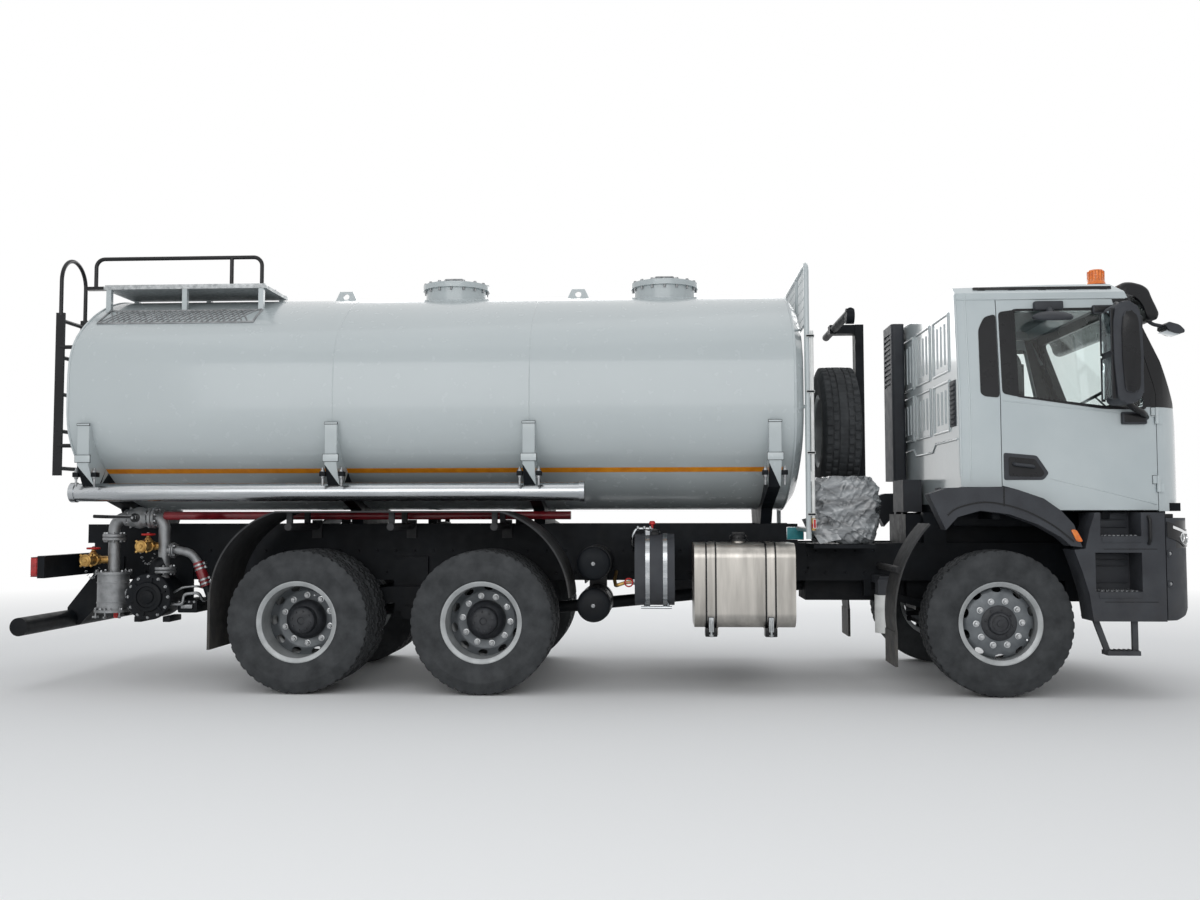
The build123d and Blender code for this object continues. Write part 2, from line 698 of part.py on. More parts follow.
# Reductant tank, air tanks and fuel filter on the right, battery and exhaust boxes on the left
urea_x = (323, 623)
urea_plane = Plane(origin=(urea_x[0], -850, 920), x_dir=(0, 1, 0), z_dir=(1, 0, 0))
air_tank_x = 15
air_tank_radius = 125
filter_x = 2243
filter_y = -750
with BuildPart() as reservoirs:
    with BuildSketch(urea_plane):
        RectangleRounded(540, 540, 200)
    extrude(amount=urea_x[1] - urea_x[0])
    rod((urea_x[0] + 110, -930, 1170), (urea_x[0] + 110, -930, 1225), 42)
    block((urea_x[0] + 60, urea_x[1] - 60), (-600, -rail_y), (860, 1000))
    for z in (973, 661):
        rod((air_tank_x, -1130, z), (air_tank_x, -470, z), air_tank_radius)
        rod((air_tank_x, -1150, z), (air_tank_x, -1130, z), air_tank_radius - 45)
    block((air_tank_x - 70, air_tank_x + 70), (-480, -rail_y), (600, 1050))
    rod((filter_x, filter_y, 430), (filter_x, filter_y, 720), 76)
    block((filter_x - 60, filter_x + 60), (filter_y - 60, filter_y + 60), (720, 840))
    block((filter_x - 40, filter_x + 40), (filter_y, -rail_y), (800, 860))
save(reservoirs, "reservoirs")

with BuildPart() as side_boxes:
    block((300, 800), (rail_y + 110, 1180), (610, 1080))
    fillet(side_boxes.edges().filter_by(Axis.X).sort_by(Axis.Y)[-2:], 60)
    block((340, 760), (rail_y, rail_y + 110), (850, 1000))
    block((900, 1560), (rail_y + 110, 1190), (500, 1090))
    fillet(side_boxes.edges(Select.LAST).filter_by(Axis.X).sort_by(Axis.Y)[-2:], 90)
    block((960, 1500), (rail_y, rail_y + 110), (850, 1000))
    rod((1230, 1150, 560), (1230, 1225, 520), 55)
    block((2560, 2715), (40, 460), (cab_floor_z, intake_z[0] - 10))
    block((2560, 2600), (rail_y - rail_flange, rail_y), (rail_top, cab_floor_z))
save(side_boxes, "side_boxes")

# Mudguards: an arched sheet over each rear bogie side, and a quarter sheet behind each front wheel
guard_sheet = 12
rear_guard_y = (590, body_half_width)
guard_stay_z = 1250
rear_guard_x = (-2880, -152)
rear_guard_low = 700
flap_bottom = 330
front_guard_y = (870, body_half_width - 5)
with BuildPart() as mudguards:
    for s in sides:
        span = sorted(s * y for y in rear_guard_y)
        with BuildSketch(Plane.XZ.offset(-span[1])):
            with BuildLine():
                crest = Line((-2380, rear_guard_top), (-680, rear_guard_top))
                nose = ThreePointArc(crest @ 1, (-310, 1130), (rear_guard_x[1], rear_guard_low))
                sill = Line(nose @ 1, (rear_guard_x[0], rear_guard_low))
                ThreePointArc(sill @ 1, (-2735, 1130), crest @ 0)
            make_face()
            offset(amount=-guard_sheet, mode=Mode.SUBTRACT)
            with Locations((-1500, rear_guard_low)):
                Rectangle(2 * overall_length, 4 * guard_sheet, mode=Mode.SUBTRACT)
        extrude(amount=span[1] - span[0])
        flap_x = (rear_guard_x[0] - 8, rear_guard_x[0] + guard_sheet)
        block(flap_x, span, (flap_bottom, rear_guard_low + 60))
        for x in (-2300, bogie_x, -730):
            rod((x, s * rail_y, guard_stay_z), (x, s * (body_half_width - 60), guard_stay_z), 28)
            block((x - 40, x + 40), sorted((s * rail_y, s * (rail_y + 20))), (1150, guard_stay_z + 50))
            for y in (680, 1120):
                post_y = sorted((s * y, s * (y + 40)))
                block((x - 20, x + 20), post_y, (guard_stay_z, rear_guard_top - guard_sheet))
        span = sorted(s * y for y in front_guard_y)
        with BuildSketch(Plane.XZ.offset(-span[1])):
            with BuildLine():
                inner = ThreePointArc((2490, 1262), (2300, 960), (2240, 470))
                sill = Line(inner @ 1, (2240 - guard_sheet, 470))
                outer = ThreePointArc(sill @ 1, (2300 - guard_sheet, 966), (2480, 1272))
                Line(outer @ 1, inner @ 0)
            make_face()
        extrude(amount=span[1] - span[0])
        block((2220, 2240), span, (230, 480))
        rod((2270, s * rail_y, 930), (2270, s * (body_half_width - 60), 930), 26)
save(mudguards, "mudguards")

# Spare wheel across the frame behind the cab, bolted to a mast that carries the hoist boom
spare_x = 1987
spare_z = 2040
mast_x = (2160, 2230)
boom_z = 2900
boom_y = (-900, 420)
spare_seat = Location((spare_x, 0, spare_z), (0, 0, 90))
with BuildPart() as spare_tyre:
    with Locations(spare_seat):
        add(casing.part)
save(spare_tyre, "spare_tyre")

spare_disc = -60
with BuildPart() as spare_rim:
    with Locations(spare_seat):
        add(rim((0,), spare_disc))
save(spare_rim, "spare_rim")

with BuildPart() as spare_carrier:
    block(mast_x, (-70, 70), (rail_top, boom_z + 35))
    block(mast_x, (-rail_y, rail_y), (rail_top, rail_top + 70))
    disc_face = spare_x - spare_disc + disc_thickness / 2
    block((disc_face, mast_x[0]), (-hub_radius - 50, hub_radius + 50), (spare_z - 60, spare_z + 60))
    rod((disc_face - disc_thickness - 40, 0, spare_z), (disc_face, 0, spare_z), 60)
    block((spare_x - 35, mast_x[0]), (-60, 60), (boom_z - 40, boom_z + 35))
    rod((spare_x, boom_y[0], boom_z), (spare_x, boom_y[1], boom_z), 32)
    rod((spare_x - 30, boom_y[0] + 40, boom_z - 30), (spare_x + 30, boom_y[0] + 40, boom_z - 30), 60)
save(spare_carrier, "spare_carrier")

# Film-wrapped bundle on a side tray behind the cab
with BuildPart() as wrapped_bundle:
    block((tray_x[0] - 20, tray_x[1] + 60), (tray_y[0] - 10, tray_y[1] - 20), (rail_top, 1640))
    fillet(wrapped_bundle.edges().filter_by(Axis.Z), 90)
    fillet(wrapped_bundle.faces().sort_by(Axis.Z)[-1].edges(), 70)
save(wrapped_bundle, "wrapped_bundle")


# Cab body: side, front and plan outlines cut one form, which is hollowed and split into its panels
cab_side = [
    (cab_back, cab_floor_z),
    (cab_back, roof_z - 40),
    (3900, roof_z),
    (3985, roof_z - 80),
    (cab_nose - 70, 2160),
    (cab_nose, 1800),
    (cab_nose, cab_floor_z),
]
cab_front = [
    (-cab_half_width, cab_floor_z),
    (-cab_half_width, belt_z),
    (-roof_half_width, 3000),
    (-roof_half_width + 90, roof_z - 15),
    (0, roof_z),
    (roof_half_width - 90, roof_z - 15),
    (roof_half_width, 3000),
    (cab_half_width, belt_z),
    (cab_half_width, cab_floor_z),
]
nose_corner = 330


def cab_form(inset):
    with BuildPart() as form:
        with BuildSketch(Plane.XZ.offset(-2 * cab_half_width)):
            with BuildLine():
                Polyline(*cab_side, close=True)
            make_face()
            if inset:
                offset(amount=-inset, kind=Kind.INTERSECTION, mode=Mode.REPLACE)
        extrude(amount=4 * cab_half_width)
        with BuildSketch(Plane.YZ):
            with BuildLine():
                Polyline(*cab_front, close=True)
            make_face()
            if inset:
                offset(amount=-inset, kind=Kind.INTERSECTION, mode=Mode.REPLACE)
        extrude(amount=2 * cab_nose, mode=Mode.INTERSECT)
        with BuildSketch() as plan:
            with Locations(((cab_back + cab_nose) / 2, 0)):
                Rectangle(cab_nose - cab_back - 2 * inset, 2 * (cab_half_width - inset))
            fillet(plan.vertices().sort_by(Axis.X)[-2:], nose_corner - inset)
        extrude(amount=2 * roof_z, mode=Mode.INTERSECT)
    return form.part


cab_outer = cab_form(0)
cab_inner = cab_form(cab_wall)
glass_depth = 14
glass_thickness = 8
with BuildPart() as cab_skin:
    add(cab_outer)
    add(cab_inner, mode=Mode.SUBTRACT)
with BuildPart() as glass_skin:
    add(cab_form(glass_depth))
    add(cab_form(glass_depth + glass_thickness), mode=Mode.SUBTRACT)

# Door outline, its window, and the arch line that cuts the lower edge
flare_line = [(2480, 1486), (2610, 1532), (3018, 1540), (3141, 1510), (3304, 1453), (3424, 1366)]
flare_gap = 9
door_top = roof_joint_z - door_gap
pillar_top = 3985
door_low = cab_floor_z + 8
door_outline = [
    (door_rear, door_top),
    (pillar_top, door_top),
    (door_front, belt_z + 20),
    (door_front, door_low),
    (flare_line[5][0] + flare_gap, door_low),
    (flare_line[4][0] + flare_gap, flare_line[4][1] + flare_gap),
    (flare_line[3][0] + flare_gap, flare_line[3][1] + flare_gap),
    (door_rear, flare_line[2][1] + flare_gap),
]
door_window = [(3159, 2215), (3159, 2860), (3905, 2860), (4070, 2170), (4070, 2120), (3800, 2130)]
hinge_x = door_front + door_gap / 2
hinge_y = cab_half_width
hinge_z = (1560, 2060)
hinge_radius = 14
hinge_pin = 8
knuckle_length = 60
inner_y = cab_half_width - cab_wall
wide_y = 2 * cab_half_width
roof_inner_y = 940
with BuildPart() as windscreen_opening:
    screen = [(-960, 2240), (-880, 2880), (880, 2880), (960, 2240)]
    add(end_slab(screen, (3700, cab_nose + 100), corner=60))

# Floor with the two pivot arms under its front edge
arm_gap = 3
arm_span = (web_inside + arm_gap, web_inside + arm_gap + 25)
arm_radius = 35
with BuildPart() as cab_floor:
    block((cab_back, cab_nose - cab_wall), (-inner_y, inner_y), (cab_floor_z, cab_floor_z + cab_wall))
    for s in sides:
        arm_y_span = sorted(s * y for y in arm_span)
        block((pivot_x - arm_radius, pivot_x + 5), arm_y_span, (pivot_z, cab_floor_z))
        rod((pivot_x, arm_y_span[0], pivot_z), (pivot_x, arm_y_span[1], pivot_z), arm_radius)
        rod((pivot_x, arm_y_span[0], pivot_z), (pivot_x, arm_y_span[1], pivot_z),
            pivot_radius + running_gap, Mode.SUBTRACT)
save(cab_floor, "cab_floor")

# Roof, back with rear quarters, and front with its A pillars and grille
with BuildPart() as cab_roof:
    add(cab_skin.part)
    block((0, 2 * cab_nose), (-wide_y, wide_y), (0, roof_joint_z), Mode.SUBTRACT)
save(cab_roof, "cab_roof")

with BuildPart() as cab_back_panel:
    add(cab_skin.part)
    block((cab_back, door_rear - door_gap), (-wide_y, wide_y), (cab_floor_z, roof_joint_z), Mode.INTERSECT)
    block((cab_back, cab_nose), (-inner_y, inner_y), (0, cab_floor_z + cab_wall), Mode.SUBTRACT)
    block((0, cab_nose), (-wide_y, wide_y), (0, flare_line[2][1]), Mode.SUBTRACT)
    block((cab_back, cab_back + cab_wall), (-inner_y, inner_y), (cab_floor_z + cab_wall, flare_line[2][1] + 10))
save(cab_back_panel, "cab_back_panel")

front_line = [
    (pillar_top + door_gap, roof_joint_z),
    (door_front + door_gap, belt_z + 20),
    (door_front + door_gap, cab_floor_z),
    (2 * cab_nose, cab_floor_z),
    (2 * cab_nose, roof_joint_z),
]
grille_half = 690
grille_bottom = 1010
grille_depth = 20
with BuildPart() as cab_front_panel:
    add(cab_skin.part)
    add(side_slab(front_line, (-wide_y, wide_y)), mode=Mode.INTERSECT)
    floor_edge = cab_floor_z + cab_wall
    block((0, cab_nose - cab_wall), (-inner_y, inner_y), (cab_floor_z, floor_edge), Mode.SUBTRACT)
    block((cab_nose - grille_depth, cab_nose), (-grille_half, grille_half), (grille_bottom, cab_floor_z + 20))
    for row in range(4):
        z = 1420 + row * 85
        block((cab_nose - 25, cab_nose), (-560, 560), (z, z + 50), Mode.SUBTRACT)
    for row in range(3):
        z = grille_bottom + 70 + row * 85
        block((cab_nose - 10, cab_nose), (-560, 560), (z, z + 50), Mode.SUBTRACT)
    add(windscreen_opening.part, mode=Mode.SUBTRACT)
    for s in sides:
        for z in hinge_z:
            leaf_y = sorted((s * (hinge_y - 25), s * hinge_y))
            block((hinge_x, hinge_x + 40), leaf_y, (z - knuckle_length, z - running_gap))
            rod((hinge_x, s * hinge_y, z - knuckle_length), (hinge_x, s * hinge_y, z - running_gap), hinge_radius)
            rod((hinge_x, s * hinge_y, z - knuckle_length), (hinge_x, s * hinge_y, z + knuckle_length), hinge_pin)
save(cab_front_panel, "cab_front_panel")

with BuildPart() as windscreen:
    add(glass_skin.part)
    add(windscreen_opening.part, mode=Mode.INTERSECT)
    block((3600, 2 * cab_nose), (-wide_y, wide_y), (0, 2 * roof_z), Mode.INTERSECT)
save(windscreen, "windscreen")

# Doors with their hinge knuckles, window glass and mirrors
mirror_x = (3745, 3955)
for name, s in (("right", -1), ("left", 1)):
    outside = sorted((s * roof_inner_y, s * wide_y))
    with BuildPart() as door:
        add(cab_skin.part)
        add(side_slab(door_outline, outside), mode=Mode.INTERSECT)
        block((cab_back, cab_nose), (-inner_y, inner_y), (cab_floor_z, cab_floor_z + cab_wall), Mode.SUBTRACT)
        add(side_slab(door_window, outside, corner=40), mode=Mode.SUBTRACT)
        for z in hinge_z:
            low = (hinge_x, s * hinge_y, z - knuckle_length - 5)
            rod(low, (hinge_x, s * hinge_y, z), hinge_radius + 5, Mode.SUBTRACT)
            block((hinge_x - 30, hinge_x), sorted((s * (hinge_y - 25), s * hinge_y)), (z, z + knuckle_length))
            rod((hinge_x, s * hinge_y, z), (hinge_x, s * hinge_y, z + knuckle_length), hinge_radius)
            rod((hinge_x, s * hinge_y, z), (hinge_x, s * hinge_y, z + knuckle_length),
                hinge_pin + running_gap, Mode.SUBTRACT)
    save(door, f"door_{name}")

    with BuildPart() as door_glass:
        add(glass_skin.part)
        add(side_slab(door_window, outside, corner=40), mode=Mode.INTERSECT)
    save(door_glass, f"door_glass_{name}")

    with BuildPart() as mirror:
        block(mirror_x, sorted((s * 1230, s * 1470)), (2120, 2870))
        fillet(mirror.edges().filter_by(Axis.Z), 45)
        fillet(mirror.edges().group_by(Axis.Z)[-1] + mirror.edges().group_by(Axis.Z)[0], 40)
        rod((4110, s * 1120, 2075), (mirror_x[1] - 70, s * 1270, 2150), 22)
        rod((3962, s * 1060, 2800), (mirror_x[1] - 40, s * 1260, 2800), 22)
        add(door.part, mode=Mode.SUBTRACT)
        add(cab_inner, mode=Mode.SUBTRACT)
    save(mirror, f"door_mirror_{name}")

# Sun visor and front mirror, and the roof beacon
visor_half = 1030
visor_outline = [
    (3950, 3015),
    (3985, 3082),
    (4060, 3088),
    (4190, 3048),
    (4245, 2935),
    (4268, 2850),
    (4255, 2805),
    (4205, 2790),
    (4185, 2840),
    (4150, 2930),
    (4085, 2990),
    (4020, 3000),
]
beacon = (3873, -820)
beacon_radius = 68
beacon_height = 126
front_mirror_x = (4290, 4420)
front_mirror_z = (2686, 2763)
with BuildPart() as roof_fittings:
    add(side_slab(visor_outline, (-visor_half, visor_half)))
    rod((4240, -950, 2830), (front_mirror_x[0] + 40, -950, front_mirror_z[1] - 25), 12)
    block(front_mirror_x, (-1040, -860), front_mirror_z)
    rod((*beacon, roof_z - 60), (*beacon, roof_z + beacon_height), beacon_radius)
    add(cab_outer, mode=Mode.SUBTRACT)
save(roof_fittings, "roof_fittings")

# Seats, dashboard and steering wheel
dash_half = 1040
dash_outline = [(3960, 2050), (4050, 2140), (cab_nose, 2140), (cab_nose, 1500), (4150, 1500), (3990, 1900)]
wheel_centre = (3830, 600, 2090)
column_axis = (-0.55, 0, 0.83)
floor_top = cab_floor_z + cab_wall
with BuildPart() as cab_interior:
    add(side_slab(dash_outline, (-dash_half, dash_half)))
    add(cab_inner, mode=Mode.INTERSECT)
    with BuildSketch(Plane(origin=wheel_centre, x_dir=(0, 1, 0), z_dir=column_axis)):
        RegularPolygon(225, 24)
        RegularPolygon(195, 24, mode=Mode.SUBTRACT)
        Rectangle(400, 45)
    extrude(amount=24)
    rod(wheel_centre, (wheel_centre[0] + 220, wheel_centre[1], wheel_centre[2] - 332), 30)
    for y in (-600, 600):
        block((3120, 3480), (y - 180, y + 180), (floor_top, 1700))
        block((3060, 3560), (y - 250, y + 250), (1700, 1850))
        seat_back = [(3060, 1850), (2930, 2560), (3040, 2580), (3190, 1850)]
        add(side_slab(seat_back, (y - 240, y + 240)))
        block((2950, 3030), (y - 130, y + 130), (2560, 2740))
save(cab_interior, "cab_interior")

# Wheel arch flares along the cab sides
flare_outline = flare_line + [
    (3514, 1265),
    (3571, 1099),
    (3490, 1109),
    (3420, 1172),
    (3258, 1265),
    (3055, 1339),
    (2850, 1366),
    (2684, 1318),
    (2599, 1224),
]
with BuildPart() as arch_flares:
    for s in sides:
        add(side_slab(flare_outline, sorted((s * inner_y, s * body_half_width))))
save(arch_flares, "arch_flares")

# Air intake stack on the back of the cab
with BuildPart() as air_intake:
    block(intake_x, intake_y, intake_z)
    fillet(air_intake.edges().filter_by(Axis.Z), 30)
    for z in (1900, 2700):
        block((intake_x[1] - 20, cab_back), (intake_y[0] + 140, intake_y[1] - 140), (z, z + 100))
    for row in range(11):
        z = intake_z[1] - 80 - row * 45
        block((intake_x[0] - 10, intake_x[0] + 12), (intake_y[0] + 60, intake_y[1] - 60), (z - 24, z), Mode.SUBTRACT)
save(air_intake, "air_intake")


# Bumper with raised corners for the headlamps
bumper_back = 4172
bumper_z = (570, 1310)
bumper_side = [
    (bumper_back, bumper_z[0]),
    (front_end - 190, bumper_z[0]),
    (front_end - 95, 600),
    (front_end - 42, 650),
    (front_end - 17, 820),
    (front_end, 1000),
    (front_end, 1070),
    (front_end - 14, 1160),
    (front_end - 30, bumper_z[1]),
    (bumper_back, bumper_z[1]),
]
bumper_corner = 400
lamp_pocket_y = (790, 1180)
lamp_pocket_z = (1090, 1290)


def bumper_form(inset):
    low = inset * 10
    with BuildPart() as form:
        with BuildSketch(Plane.XZ.offset(-wide_y)):
            with BuildLine():
                Polyline(*[(x - inset, z) for x, z in bumper_side], close=True)
            make_face()
        extrude(amount=2 * wide_y)
        if inset:
            block((bumper_back - low, bumper_back + 120), (-wide_y, wide_y), (bumper_z[0] - low, bumper_z[1] + low))
        with BuildSketch(Plane.XY.offset(-low)) as plan:
            with Locations((front_end - inset - 1000, 0)):
                Rectangle(2000, 2 * (body_half_width - inset))
            fillet(plan.vertices().sort_by(Axis.X)[-2:], bumper_corner - inset)
        extrude(amount=2 * wide_y + low, mode=Mode.INTERSECT)
    return form.part


tow_bore = (560, 760)
tow_bore_radius = 20
with BuildPart() as bumper_shell:
    add(bumper_form(0))
    add(bumper_form(bumper_wall), mode=Mode.SUBTRACT)
    block((0, 2 * front_end), (-grille_half - 8, grille_half + 8), (950, 2 * bumper_z[1]), Mode.SUBTRACT)
    add(frame_brackets.part, mode=Mode.SUBTRACT)
    rod((bumper_back, *tow_bore), (front_end + 10, *tow_bore), tow_bore_radius, Mode.SUBTRACT)
with BuildPart() as lamp_pockets:
    for s in sides:
        block((bumper_back + 60, 2 * front_end), sorted(s * y for y in lamp_pocket_y), lamp_pocket_z)
with BuildPart() as bumper:
    add(bumper_shell.part)
    add(lamp_pockets.part, mode=Mode.SUBTRACT)
save(bumper, "bumper")

# Lamps: headlamps in the bumper corners, tail lamps on the lamp beam
with BuildPart() as lamps:
    add(bumper_shell.part)
    add(lamp_pockets.part, mode=Mode.INTERSECT)
    for s in sides:
        lamp_y = sorted((s * (underrun_half - 290), s * (underrun_half - 10)))
        block((lamp_beam_x[0] - 55, lamp_beam_x[0]), lamp_y, (lamp_z[0] + 10, lamp_z[1] - 10))
save(lamps, "lamps")

# Entry steps under the doors: a box, its rear edge along the wheel arch, and a hanging lower tread
step_x = (3706, 4157)
step_y = (800, body_half_width)
step_z = (565, cab_floor_z - 10)
recess_depth = 230
arch_edge_y = body_half_width - recess_depth - 15
arch_edge = [
    (3665, step_z[1]),
    (step_x[0] + 20, step_z[1]),
    (step_x[0] + 20, step_z[0]),
    (3640, step_z[0]),
    (3614, 758),
    (3567, 923),
    (3512, 1080),
    (3592, 1088),
    (3625, 1230),
]
upper_recess = ((3700, 3990), (1180, cab_floor_z))
lower_recess = ((3660, 3990), (779, 1060))
tread_x = (3735, 3967)
tread_z = (320, 352)
leg_wide = 40
leg_y = (1170, 1200)
rear_leg = [(3648, step_z[0] + 10), (3690, step_z[0] + 10), (3776, tread_z[0] + 10), (3735, tread_z[0] + 10)]
with BuildPart() as entry_steps:
    for s in sides:
        block(step_x, sorted(s * y for y in step_y), step_z)
        add(side_slab(arch_edge, sorted((s * arch_edge_y, s * body_half_width))))
        recess_y = sorted((s * (body_half_width - recess_depth), s * body_half_width))
        for x, z in (upper_recess, lower_recess):
            block(x, recess_y, z, Mode.SUBTRACT)
        block((3850, 3950), sorted((s * rail_y, s * step_y[0])), (850, 950))
        block(tread_x, sorted((s * 1115, s * 1240)), tread_z)
        block((tread_x[1] - leg_wide, tread_x[1]), sorted(s * y for y in leg_y), (tread_z[0] + 10, step_z[0] + 10))
        add(side_slab(rear_leg, sorted(s * y for y in leg_y)))
save(entry_steps, "entry_steps")
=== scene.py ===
from math import cos, exp, pi, radians, sin

import bmesh
import bpy
from mathutils import Matrix, Vector, noise
from mathutils.bvhtree import BVHTree


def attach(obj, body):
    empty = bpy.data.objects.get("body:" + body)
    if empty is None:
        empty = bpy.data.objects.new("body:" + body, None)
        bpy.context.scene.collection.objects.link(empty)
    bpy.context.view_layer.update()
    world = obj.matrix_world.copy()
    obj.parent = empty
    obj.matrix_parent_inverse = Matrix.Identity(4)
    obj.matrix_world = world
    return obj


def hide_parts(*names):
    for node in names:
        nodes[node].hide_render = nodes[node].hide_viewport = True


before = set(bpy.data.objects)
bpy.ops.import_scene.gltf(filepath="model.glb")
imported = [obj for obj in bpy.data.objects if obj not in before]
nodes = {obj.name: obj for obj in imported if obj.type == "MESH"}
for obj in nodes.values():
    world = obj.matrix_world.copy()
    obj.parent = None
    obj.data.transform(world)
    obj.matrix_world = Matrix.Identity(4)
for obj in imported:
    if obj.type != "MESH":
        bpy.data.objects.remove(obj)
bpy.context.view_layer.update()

scene = bpy.context.scene
scene.view_settings.view_transform = "Standard"
print("frame loaded,", len(nodes), "nodes")


def screenColour(red, green, blue):  # 0-255 screen colour to a shader's linear colour
    def straighten(level):
        level /= 255
        return level / 12.92 if level <= 0.04045 else ((level + 0.055) / 1.055) ** 2.4
    return (straighten(red), straighten(green), straighten(blue), 1)


def addNode(tree, kind, **settings):
    made = tree.nodes.new(kind)
    for key, value in settings.items():
        setattr(made, key, value)
    return made


def grainNoise(tree, vector, scale, detail=4, rough=0.55):
    grain = addNode(tree, "ShaderNodeTexNoise")
    grain.inputs["Scale"].default_value = scale
    grain.inputs["Detail"].default_value = detail
    grain.inputs["Roughness"].default_value = rough
    tree.links.new(vector, grain.inputs["Vector"])
    return grain.outputs["Fac"]


def remap(tree, source, low, high, fromLow=0.3, fromHigh=0.7):
    span = addNode(tree, "ShaderNodeMapRange")
    for key, value in (("From Min", fromLow), ("From Max", fromHigh), ("To Min", low), ("To Max", high)):
        span.inputs[key].default_value = value
    tree.links.new(source, span.inputs["Value"])
    return span.outputs["Result"]


def compute(tree, operation, first, second):
    made = addNode(tree, "ShaderNodeMath", operation=operation)
    tree.links.new(first, made.inputs[0])
    tree.links.new(second, made.inputs[1])
    return made.outputs["Value"]


def mixShaders(tree, factor, first, second, output):
    mixer = addNode(tree, "ShaderNodeMixShader")
    for index, source in enumerate((factor, first, second)):
        tree.links.new(source, mixer.inputs[index])
    tree.links.new(mixer.outputs[0], tree.nodes[output].inputs["Surface"])


def mixColours(tree, factor, first, second):
    mixer = addNode(tree, "ShaderNodeMix", data_type="RGBA")
    tree.links.new(factor, mixer.inputs[0])
    for socket, colour in ((mixer.inputs[6], first), (mixer.inputs[7], second)):
        if isinstance(colour, tuple):
            socket.default_value = colour
        else:
            tree.links.new(colour, socket)
    return mixer.outputs[2]


plainInputs = (("Metallic", "metal", 0), ("Coat Weight", "coat", 0), ("Coat Roughness", "coatRough", 0.08),
               ("Specular IOR Level", "shine", 0.5), ("Transmission Weight", "clear", 0),
               ("IOR", "bend", 1.45), ("Sheen Weight", "sheen", 0))


def makeFinish(name, dark, light, patch, rough, look):
    material = bpy.data.materials.new(name)
    material.use_nodes = True
    tree = material.node_tree
    shader = tree.nodes["Principled BSDF"]
    coords = addNode(tree, "ShaderNodeTexCoord").outputs["Object"]
    stretch = addNode(tree, "ShaderNodeMapping")
    stretch.inputs["Scale"].default_value = look.get("stretch", (1, 1, 1))
    tree.links.new(coords, stretch.inputs["Vector"])
    drawn = stretch.outputs["Vector"]
    dark, light = screenColour(*dark), screenColour(*light)
    colour = mixColours(tree, remap(tree, grainNoise(tree, drawn, patch), 0, 1), dark, light)
    if "dusty" in look:  # road dust that thins out with height
        height = addNode(tree, "ShaderNodeSeparateXYZ")
        tree.links.new(coords, height.inputs["Vector"])
        low = remap(tree, height.outputs["Z"], look["dusty"], 0, 0, dust["top"])
        clouds = remap(tree, grainNoise(tree, coords, dust["patch"], 6), 0.2, 1, 0.35, 0.65)
        amount = compute(tree, "MULTIPLY", low, clouds)
        colour = mixColours(tree, amount, colour, screenColour(*dust["tone"]))
    tree.links.new(colour, shader.inputs["Base Color"])
    polish = grainNoise(tree, drawn, gloss["scale"], gloss["detail"])
    tree.links.new(remap(tree, polish, *rough), shader.inputs["Roughness"])
    for socket, key, usual in plainInputs:
        shader.inputs[socket].default_value = look.get(key, usual)
    if "glow" in look:
        shader.inputs["Emission Color"].default_value = light
        shader.inputs["Emission Strength"].default_value = look["glow"]
    if "bump" in look:
        strength, scale, depth = look["bump"]
        relief = addNode(tree, "ShaderNodeBump")
        relief.inputs["Strength"].default_value = strength
        relief.inputs["Distance"].default_value = depth
        tree.links.new(grainNoise(tree, drawn, scale, 6, 0.6), relief.inputs["Height"])
        tree.links.new(relief.outputs["Normal"], shader.inputs["Normal"])
    return material


dust = {"tone": (128, 122, 112), "top": 1.1, "patch": 9}
gloss = {"scale": 14, "detail": 5}
